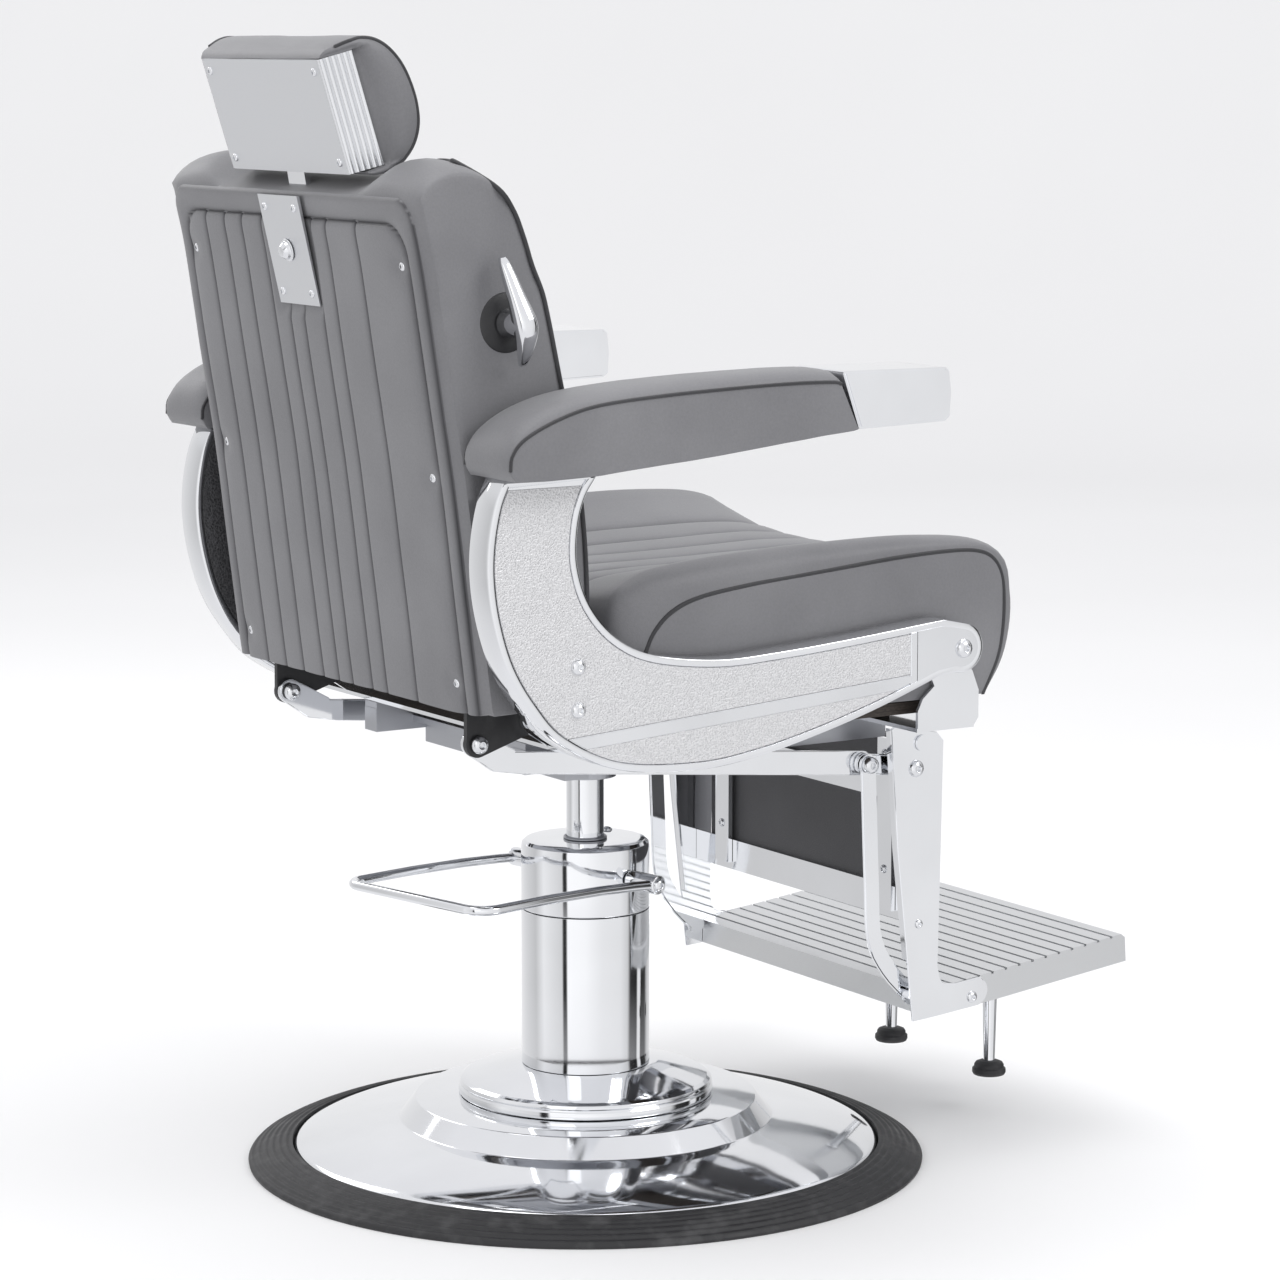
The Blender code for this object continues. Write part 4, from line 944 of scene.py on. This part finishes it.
def arm_pad(side, sign):
    centre, half = (PAD_IN + PAD_OUT) / 2, (PAD_OUT - PAD_IN) / 2 - 0.0012

    def section(x):
        t = abs(abs(x) - centre) / half
        w = max(0.0, 1 - t**3.2) ** 0.55
        top = np.array(PAD_EDGE) * (1 - w) + np.array(PAD_CREST) * w
        upper = spline(top, 72)
        under = np.array(PAD_UNDER)
        under[-1] = upper[-1]
        return upper, under

    xs = [centre + half * sin(radians(a)) for a in np.linspace(-90, 90, 25)]
    made = grid_pad(f"arm_pad_cover_{side}", section, [sign * x for x in xs][:: sign], 0.001, GREY, "seat",
                    f"arm_pad_{side}", across=8)
    edge = spline(PAD_EDGE[1:], 90)
    shapes = [pipe([(sign * x, y, z) for y, z in edge], 0.0017, 8) for x in (centre - half, centre + half)]
    put(f"arm_pad_piping_{side}", *together(shapes), SHADOW_PIPING, "seat", slot="grey_leatherette")
    nose = [(-0.0915, 0.7797), (-0.193, 0.7828), (-0.1985, 0.787), (-0.2, 0.81), (-0.1975, 0.831),
            (-0.193, 0.8352), (-0.0712, 0.8362)]
    tip = flat(f"arm_nose_{side}", filleted(nose, 0.0035), sign * (PAD_IN + 0.0008),
               sign * (PAD_OUT - 0.0008), CHROME, "seat", 0.005, 5, slot="chrome")
    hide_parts(f"arm_tip_{side}")


# Fasteners


def button(radius):
    """A domed socket-head screw, its underside at z = 0."""
    profile = [(0.0, 0.1), (0.34, 0.16), (0.36, 0.5), (0.44, 0.55), (0.7, 0.46), (0.9, 0.28), (1.0, 0.08),
               (1.0, -0.2), (0.0, -0.2)]
    return lathe([(r * radius, z * radius) for r, z in profile], 20, closed=False)


def screws(name, places, radius, body, sizes=None):
    """Screws of one size, or of the sizes listed, at each (point, normal)."""
    shapes = []
    for k, (at, normal) in enumerate(places):
        shapes.append(moved(button(sizes[k] if sizes else radius), facing(Vector(at), normal)))
    return put(name, *together(shapes), BRIGHT, body, slot="chrome", sharp=50)


def fasteners():
    back = [((s * PANEL_SCREW_X, rear_at(z) + 0.0013, z), (0, 0.985, -0.17)) for s in (-1, 1)
            for z in PANEL_SCREW_ZS]
    screws("back_panel_screws", back, 0.0048, "back")
    plate = [((x, 0.3225 + (z - 0.894) * 0.2311 + 0.0002, z), BRACKET_FACING) for x in (-0.03, 0.03)
             for z in (0.9055, 0.988)]
    screws("bracket_screws", plate, 0.0042, "back")
    spots = [(-0.263, 0.414), (-0.268, 0.252), (-0.337, 0.167)]
    for side, sign in SIDES:
        screws(f"legrest_bolts_{side}", [((sign * 0.2156, y, z), (sign, 0, 0)) for y, z in spots], None,
               "legrest", sizes=(0.0088, 0.0048, 0.0062))
    screws("calf_screws", [((s * 0.1525, -0.2689, z), (0, 1, 0)) for s in (-1, 1) for z in (0.2987, 0.42)],
           0.0046, "legrest")
    for side, sign in SIDES:
        screws(f"rail_pin_heads_{side}", [((sign * 0.2086, *RAIL_FRONT), (sign, 0, 0)),
                                          ((sign * 0.1822, *RAIL_FRONT), (-sign, 0, 0))], 0.0088, "legrest")
        screws(f"back_stud_heads_{side}", [((sign * 0.2038, *RAIL_REAR), (sign, 0, 0)),
                                           ((sign * 0.1822, *RAIL_REAR), (-sign, 0, 0))], 0.0088, "back")
        screws(f"back_pin_heads_{side}", [((sign * 0.2108, *BACK_PIVOT), (sign, 0, 0))], 0.0092, "seat")
    dome = [(0.0, 0.009), (0.0052, 0.0082), (0.0082, 0.0048), (0.009, 0.0018), (0.0112, 0.0014),
            (0.0112, 0.0003), (0.0, 0.0003)]
    lock = stud(dome, 0.001, 48, (0, 0.3352, 0.947), BRACKET_FACING)
    put("lock_bolt_dome", *lock, BRIGHT, "back", "headrest_lock_bolt", "chrome", sharp=45)
    screws("bleed_screw", [((0.025, -0.042, 0.3347), (0, 0, 1))], 0.0052, "base")
    ends = [((s * 0.108 * cos(PEDAL_TURN), s * 0.108 * sin(PEDAL_TURN), PEDAL_Z),
             (s * cos(PEDAL_TURN), s * sin(PEDAL_TURN), 0)) for s in (-1, 1)]
    screws("pedal_caps", ends, 0.0074, "pedal")


# Base and pump


def base():
    steps = [k / 60 for k in range(61)]
    ridges = [(0.3045 + 0.0425 * t, 0.0207 - 0.0145 * t**1.7 + 0.0007 * cos(2 * pi * t * 6)) for t in steps]
    ring = ridges + [(0.349, 0.0048), (0.35, 0.003), (0.3494, 0.0), (0.304, 0.0), (0.304, 0.018)]
    turned("floor_ring", ring, RUBBER, "base", steps=192, replaces="rubber_base_ring", slot="black_rubber")
    tier = filleted([(0.06, 0.069), (0.132, 0.0684), (0.156, 0.0672), (0.177, 0.0646), (0.1935, 0.0442),
                     (0.2, 0.0434)], 0.0028, False)
    slope = [(0.2, 0.0434), (0.22, 0.0408), (0.245, 0.0366), (0.27, 0.031), (0.287, 0.0262),
             (0.298, 0.0218), (0.3015, 0.019), (0.3028, 0.016), (0.303, 0.0066)]
    skin = [*tier[:-1], *spline(slope, 60)]
    under = [(0.3, 0.0066), (0.3, 0.016), (0.19, 0.044), (0.17, 0.06), (0.06, 0.067)]
    turned("dome_cover", skin + under, CHROME, "base", steps=192, replaces="base_dome", slot="chrome")
    flange = [(0.058, 0.0994), (0.069, 0.0992), (0.076, 0.0976), (0.118, 0.088), (0.126, 0.086),
              (0.13, 0.0836), (0.1315, 0.0805), (0.13, 0.0782), (0.1316, 0.076), (0.132, 0.0725),
              (0.1318, 0.0692), (0.129, 0.0692), (0.128, 0.082), (0.07, 0.096), (0.058, 0.0975)]
    turned("pump_flange", flange, CHROME, "base", 0.0012, 160, replaces="flange_cover", slot="chrome")
    tube = [(PUMP_RADIUS, 0.2622), (PUMP_RADIUS, 0.0998), (0.0642, 0.0998), (0.0642, 0.2622)]
    turned("pump_shell", tube, CHROME, "base", 0.0005, 160, replaces="pump_cover", slot="chrome")
    top = [(0.021, 0.3346), (0.056, 0.3346), (0.062, 0.3338), (0.0655, 0.3308), (PUMP_RADIUS, 0.3265),
           (PUMP_RADIUS, 0.263), (0.063, 0.263), (0.063, 0.325), (0.059, 0.329), (0.021, 0.33)]
    turned("pump_cap", top, CHROME, "base", 0.0014, 160, replaces="pump_head", slot="chrome")
    lip = [(0.0198, 0.3372), (0.0216, 0.3372), (0.0224, 0.3362), (0.0224, 0.335), (0.0209, 0.3342),
           (0.0209, 0.3262), (0.036, 0.3262), (0.036, 0.3), (0.0198, 0.3)]
    turned("ram_wiper", lip, ZINC, "base", 0.0005, 96, replaces="gland_ring", slot="zinc_steel")
    rod = [(0.0, 0.447), (0.018, 0.447), (0.0194, 0.4455), (0.0194, 0.165), (0.0296, 0.165), (0.0296, 0.15),
           (0.0, 0.15)]
    turned("ram_rod", rod, CHROME, "lift", steps=96, closed=False, replaces="ram", slot="chrome")


def pedal():
    """A bent rod with a socket at each end."""
    a = np.array([cos(PEDAL_TURN), sin(PEDAL_TURN), 0.0])
    p = np.array([-sin(PEDAL_TURN), cos(PEDAL_TURN), 0.0])

    def point(along, out, rise):
        return a * along + p * out + np.array([0, 0, PEDAL_Z + rise])

    half, reach, bend = 0.102, 0.238, 0.022
    path = [point(-half, 0.004, 0.0), point(-half, 0.03, 0.002), point(-half, 0.08, 0.0045),
            point(-half, 0.15, 0.006), point(-half, reach - bend, 0.006)]
    for k in range(1, 9):
        t = radians(90 * k / 8)
        path.append(point(-half + bend * (1 - cos(t)), reach - bend + bend * sin(t), 0.006))
    for k in range(0, 9):
        t = radians(90 * k / 8)
        path.append(point(half - bend + bend * sin(t), reach - bend + bend * cos(t), 0.006))
    path += [point(half, 0.15, 0.006), point(half, 0.08, 0.0045), point(half, 0.03, 0.002),
             point(half, 0.004, 0)]
    shapes = [pipe(path, 0.005, 20)]
    for s in (-1, 1):
        sleeve = [(0.0, 0.04), (0.0098, 0.04), (0.0098, 0.0), (0.0062, 0.0), (0.0, 0.0)]
        shapes.append(stud(sleeve, 0.0012, 40, Vector(point(s * 0.068, 0.0, 0.0)), a * s))
    put("pedal_loop", *together(shapes), CHROME, "pedal", "pedal_bar", "chrome")


# Footrest and legrest


def calf():
    half, low, high = 0.189, 0.253, 0.435
    grooves = (-0.126, -0.063, 0.0, 0.063, 0.126)
    front = [(-0.288, high - 0.003), (-0.298, high), (-0.307, high - 0.005), (-0.312, high - 0.018),
             (-0.314, (low + high) / 2), (-0.312, low + 0.018), (-0.307, low + 0.005), (-0.298, low),
             (-0.288, low + 0.003)]
    centre = np.array([-0.294, (low + high) / 2])

    def section(x):
        t = max(0.0, (abs(x) / half - 0.9) / 0.1)
        points = centre + (np.array(front) - centre) * (0.93 + 0.07 * (1 - t * t) ** 0.5)
        points[0], points[-1] = front[0], front[-1]
        upper = spline(points, 72)
        return upper, np.stack([upper[0], upper[-1]])

    made = grid_pad("calf_pad", section, stations_for(half, grooves, 0.018, 30), 0.002, GREY, "legrest",
                    "calf_cushion", channelled(grooves, 0.0026, 0.004, 0.16, 0.84), across=8)
    edge_piping("calf_piping", spline([centre + (np.array(q) - centre) * 0.935 for q in front[1:-1]], 90),
                half, 0.0019, "legrest")


def linkage():
    """The bright bars and plates that tie the legrest to the back, with their edges eased."""
    rail = arc(RAIL_FRONT, 0.0125, 97, 277) + [(0.19, 0.4475), (0.221, 0.453)] + arc(RAIL_REAR, 0.0125,
                                                                                     -50, 120)
    rail += [(0.196, 0.4715), (0.196, 0.47)]
    path = [RAIL_FRONT, (-0.2135, 0.395), (-0.2175, 0.3), (-0.2215, 0.24), (-0.24, 0.205), BRACE_FOOT]
    brace = band([tuple(p) for p in spline(path, 26)], 0.0095)
    toe = [tuple(p) for p in spline([(-0.2935, 0.205), (-0.2985, 0.1885), (-0.316, 0.1835)], 9)]
    side_plate = [(-0.289, 0.45), (-0.298, 0.44), (-0.297, 0.385), (-0.296, 0.327)] + toe
    side_plate += [(-0.351, 0.187)] + arc((-0.343, 0.172), 0.015, 120, 260, 8)
    side_plate += [(-0.29, 0.152), (-0.262, 0.15), (-0.241, 0.333), (-0.232, 0.457), (-0.236, 0.4595)]
    flange = band([(-0.2335, 0.457), (-0.2427, 0.333), (-0.2565, 0.215)], 0.0015)
    lever = band([(LEVER_BOLT[0] - 0.004, LEVER_BOLT[1]), RAIL_FRONT], 0.0105)
    for side, sign in SIDES:
        flat(f"rail_bar_{side}", rail, sign * 0.187, sign * 0.193, CHROME, "rails", 0.0016,
             replaces=f"push_rail_{side}", slot="chrome")
        eyes = [slab(arc(at, 0.0105, 0, 345, 23), sign * 0.2012, sign * 0.2047, 0.001, 2)
                for at in (RAIL_FRONT, BRACE_FOOT)]
        spacer = slab(arc(BRACE_FOOT, 0.007, 0, 345, 23), sign * 0.204, sign * 0.2122, 0.0004, 1)
        shapes = [slab(brace, sign * 0.2004, sign * 0.2046, 0.002, 5), *eyes, spacer]
        put(f"brace_bar_{side}", *together(shapes), CHROME, "legrest", f"legrest_brace_{side}", "chrome",
            sharp=34)
        shapes = [slab(side_plate, sign * 0.2125, sign * 0.2155, 0.001),
                  slab(flange, sign * 0.2052, sign * 0.2135, 0.0004, 1)]
        put(f"side_panel_{side}", *together(shapes), CHROME, "legrest", f"legrest_side_{side}", "chrome",
            sharp=34)
        shapes = [slab(lever, sign * 0.1935, sign * 0.1995, 0.0014)]
        shapes += [slab(arc(at, radius, 0, 350, 35), sign * a, sign * b, 0.0008, 2)
                   for at, radius, a, b in ((RAIL_FRONT, 0.011, 0.1936, 0.1996),
                                            (LEVER_BOLT, 0.011, 0.1934, 0.1996),
                                            (LEVER_BOLT, 0.01, 0.199, 0.2122),
                                            (RAIL_FRONT, 0.005, 0.183, 0.206),
                                            (RAIL_FRONT, 0.0085, 0.182, 0.1865),
                                            (RAIL_FRONT, 0.0085, 0.2049, 0.2088))]
        put(f"crank_bar_{side}", *together(shapes), CHROME, "legrest", f"crank_lever_{side}",
            "black_steel", sharp=34)


def support_feet():
    """Turned bright legs on rubber pads."""
    leg = [(0.0, 0.193), (0.0125, 0.193), (0.0125, 0.1902), (0.0092, 0.1885), (0.0062, 0.058),
           (0.0062, 0.054), (0.0, 0.054)]
    pad = [(0.0, 0.058), (0.01, 0.0578), (0.0145, 0.056), (0.016, 0.0535), (0.016, 0.051), (0.018, 0.0495),
           (0.0182, 0.0455), (0.0168, 0.0428), (0.0, 0.0428)]
    for side, sign in SIDES:
        node = f"support_foot_{side}"
        low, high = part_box(node)
        place = Matrix.Translation(((low[0] + high[0]) / 2, (low[1] + high[1]) / 2, 0))
        for name, profile, material, slot in (("foot_leg", leg, CHROME, "chrome"),
                                              ("foot_pad", pad, RUBBER, "black_rubber")):
            shape = lathe(filleted(profile, 0.0009, False), 48, False)
            put(f"{name}_{side}", *moved(shape, place), material, "legrest", node, slot)


def handle():
    """A cast wing lever on a hub, over a dark round plate."""
    hub_at = Vector((0, HANDLE_Y, HANDLE_Z))
    up, rear = Vector((0.0, 0.2079, 0.9781)), Vector((0.0, 0.9781, -0.2079))
    line = [(0.063, -0.272, -0.279, 0.003), (0.058, -0.2732, -0.2822, 0.0048),
            (0.045, -0.2762, -0.2885, 0.0064), (0.026, -0.2805, -0.2965, 0.008),
            (0.01, -0.2828, -0.3035, 0.01), (0.0, -0.2835, -0.306, 0.0108), (-0.01, -0.283, -0.3042, 0.01),
            (-0.02, -0.2808, -0.2985, 0.0082), (-0.03, -0.2768, -0.29, 0.0064),
            (-0.037, -0.2735, -0.283, 0.0046), (-0.04, -0.2722, -0.2795, 0.003)]
    rows = evenly(spline(line), 40)
    verts, faces, around = [], [], 28
    for rise, inner, outer, thick in rows:
        for k in range(around):
            a = 2 * pi * k / around
            cx, sx = cos(a), sin(a)
            x = (inner + outer) / 2 + (inner - outer) / 2 * np.sign(cx) * abs(cx) ** 0.7
            across = float(thick * np.sign(sx) * abs(sx) ** 0.7)
            verts.append(hub_at + Vector((x, 0, 0)) + up * float(rise) + rear * across)
    for r in range(len(rows) - 1):
        for k in range(around):
            m = (k + 1) % around
            faces.append([r * around + k, r * around + m, (r + 1) * around + m, (r + 1) * around + k])
    faces += [list(range(around)), list(range(len(verts) - 1, len(verts) - around - 1, -1))]
    hub = [(0.0, 0.04), (0.006, 0.0398), (0.0105, 0.036), (0.012, 0.018), (0.0145, 0.0), (0.0, 0.0)]
    shapes = [(verts, faces), stud(hub, 0.003, 40, (-0.2645, HANDLE_Y, HANDLE_Z), (-1, 0, 0))]
    put("wing_handle", *together(shapes), CHROME, "handle", "recline_handle", "chrome", sharp=45)
    disc = [(0.0, 0.0046), (0.02, 0.0044), (0.0275, 0.0026), (0.029, 0.0004), (0.029, -0.0016),
            (0.0, -0.0016)]
    put("handle_plate", *stud(disc, 0.0012, 64, (-0.2586, HANDLE_Y, HANDLE_Z), (-1, 0, 0)), BLACK, "back",
        "handle_escutcheon", "black_steel")


def finishes():
    """Procedural finishes on the CAD pieces that keep their shape."""
    chosen = {
        CHROME: ["front_seat_bracket", "rear_seat_bracket", "calf_hanger", "calf_bottom_bar",
                 "legrest_pivot_pin_right", "legrest_pivot_pin_left", "headrest_post"],
        ZINC: ["base_plate", "pump_cylinder", "pump_valve_block", "pump_plunger", "plunger_spring",
               "pedal_pin_right", "pedal_pin_left", "swivel_socket", "seat_frame", "back_hinge_pin_right",
               "back_hinge_pin_left"],
        BLACK: ["back_frame"],
        SATIN: ["headrest_bracket"],
        TREAD: ["footplate"],
        PLY: ["seat_board"],
        CHARCOAL: ["calf_board"],
    }
    for material, names in chosen.items():
        for name in names:
            mesh = NODES[name].data
            mesh.materials.clear()
            mesh.materials.append(material)


# Stage


CAMERA_AZIMUTH = radians(238.565)
TOWARDS = Vector((sin(CAMERA_AZIMUTH), -cos(CAMERA_AZIMUTH), 0.0))
RIGHTWARDS = Vector((cos(CAMERA_AZIMUTH), sin(CAMERA_AZIMUTH), 0.0))


def stage():
    """A bowl of pale studio paper. It is left out of reflections, which come from the studio alone."""
    name = "studio_floor"
    wall = [(7.0 + 3.0 * sin(radians(a)), 3.0 - 3.0 * cos(radians(a))) for a in range(0, 91, 9)]
    verts, faces = lathe([(0.0, 0.0), *wall, (10.0, 9.0)], 96, False)
    mesh = bpy.data.meshes.new(name)
    mesh.from_pydata([tuple(v) for v in verts], [], faces)
    mesh.shade_smooth()
    look = Look(name, (0.92, 0.92, 0.92), 0.7)
    look.colour(look.mixed(look.noise(0.9, 2.0), (0.9, 0.9, 0.9), (0.94, 0.94, 0.94)))
    mesh.materials.append(look.material)
    obj = bpy.data.objects.new(name, mesh)
    bpy.context.scene.collection.objects.link(obj)
    obj.visible_glossy = obj.visible_diffuse = obj.visible_shadow = False


def lamp(name, at, target, size, power):
    data = bpy.data.lights.new(name, "AREA")
    data.energy = power
    data.size = size
    obj = bpy.data.objects.new(name, data)
    bpy.context.scene.collection.objects.link(obj)
    obj.location = at
    obj.rotation_euler = (Vector(target) - Vector(at)).to_track_quat("-Z", "Y").to_euler()


# Brightness of the studio round the object, in degrees turned from TOWARDS to RIGHTWARDS. It keeps its place
# in the world, and does not follow the camera.
STUDIO = [(-180, 0.92), (-150, 0.84), (-118, 0.7), (-100, 0.62), (-80, 0.95), (-42, 0.74), (-40, 0.03),
          (-34, 0.03), (-32, 1.15), (0, 1.1), (30, 0.95), (66, 0.9), (82, 0.7), (88, 0.04), (106, 0.02),
          (108, 0.85), (116, 0.9), (118, 0.02), (134, 0.05), (146, 0.6), (180, 0.92)]


def studio():
    """The world: banded walls round the object, a pale ceiling and floor, and plain white for the camera."""
    world = bpy.data.worlds.new("studio")
    bpy.context.scene.world = world
    world.use_nodes = True
    tree = world.node_tree
    new, link = tree.nodes.new, tree.links.new
    place = new("ShaderNodeTexCoord").outputs["Generated"]

    def along(direction):
        node = new("ShaderNodeVectorMath")
        node.operation = "DOT_PRODUCT"
        link(place, node.inputs[0])
        node.inputs[1].default_value = direction
        return node.outputs["Value"]

    turn = new("ShaderNodeMath")
    turn.operation = "ARCTAN2"
    link(along(RIGHTWARDS), turn.inputs[0])
    link(along(TOWARDS), turn.inputs[1])
    share = new("ShaderNodeMapRange")
    share.inputs["From Min"].default_value = -pi
    share.inputs["From Max"].default_value = pi
    link(turn.outputs[0], share.inputs["Value"])
    ramp = new("ShaderNodeValToRGB")
    link(share.outputs["Result"], ramp.inputs["Fac"])
    stops = ramp.color_ramp.elements
    while len(stops) < len(STUDIO):
        stops.new(0.5)
    for stop, (angle, level) in zip(stops, STUDIO):
        stop.position = (angle + 180) / 360
        stop.color = (level, level, level * 1.01, 1)
    level = new("ShaderNodeMath")
    level.operation = "ABSOLUTE"
    link(along((0, 0, 1)), level.inputs[0])
    height = new("ShaderNodeMapRange")
    height.inputs["From Min"].default_value = 0.22
    height.inputs["From Max"].default_value = 0.62
    link(level.outputs[0], height.inputs["Value"])
    above = new("ShaderNodeMix")
    above.data_type = "RGBA"
    link(height.outputs["Result"], above.inputs["Factor"])
    link(ramp.outputs["Color"], above.inputs[6])
    above.inputs[7].default_value = (0.9, 0.9, 0.92, 1)
    seen = new("ShaderNodeLightPath")
    shown = new("ShaderNodeMix")
    shown.data_type = "RGBA"
    link(seen.outputs["Is Camera Ray"], shown.inputs["Factor"])
    link(above.outputs[2], shown.inputs[6])
    shown.inputs[7].default_value = (1.0, 1.0, 1.0, 1)
    link(shown.outputs[2], tree.nodes["Background"].inputs["Color"])
    tree.nodes["Background"].inputs["Strength"].default_value = 1.0


def lights():
    studio()
    lamp("key", (-2.9, -1.9, 3.2), (0, 0, 0.6), 1.6, 42.0)
    lamp("fill", (-2.4, 3.4, 2.2), (0, 0, 0.6), 2.0, 6.0)
    lamp("top", (0.4, 0.3, 4.2), (0, 0, 0.4), 3.0, 42.0)
    lamp("edge", (3.4, 0.8, 2.6), (0, 0, 0.7), 1.6, 18.0)


def camera():
    elevation = radians(8.214)
    data = bpy.data.cameras.new("camera")
    data.lens = 116.41
    data.sensor_width = 36.0
    obj = bpy.data.objects.new("camera", data)
    bpy.context.scene.collection.objects.link(obj)
    middle = Vector((0, 0, 0.54))
    away = TOWARDS * cos(elevation) + Vector((0, 0, sin(elevation)))
    obj.location = middle + away * 4.237
    aim = middle + RIGHTWARDS * 0.0565
    obj.rotation_euler = (aim - obj.location).to_track_quat("-Z", "Y").to_euler()
    bpy.context.scene.camera = obj
    bpy.context.scene.view_settings.view_transform = "Standard"


seat()
back()
headrest()
arms()
calf()
pedal()
base()
linkage()
support_feet()
handle()
fasteners()
finishes()
stage()
lights()
camera()
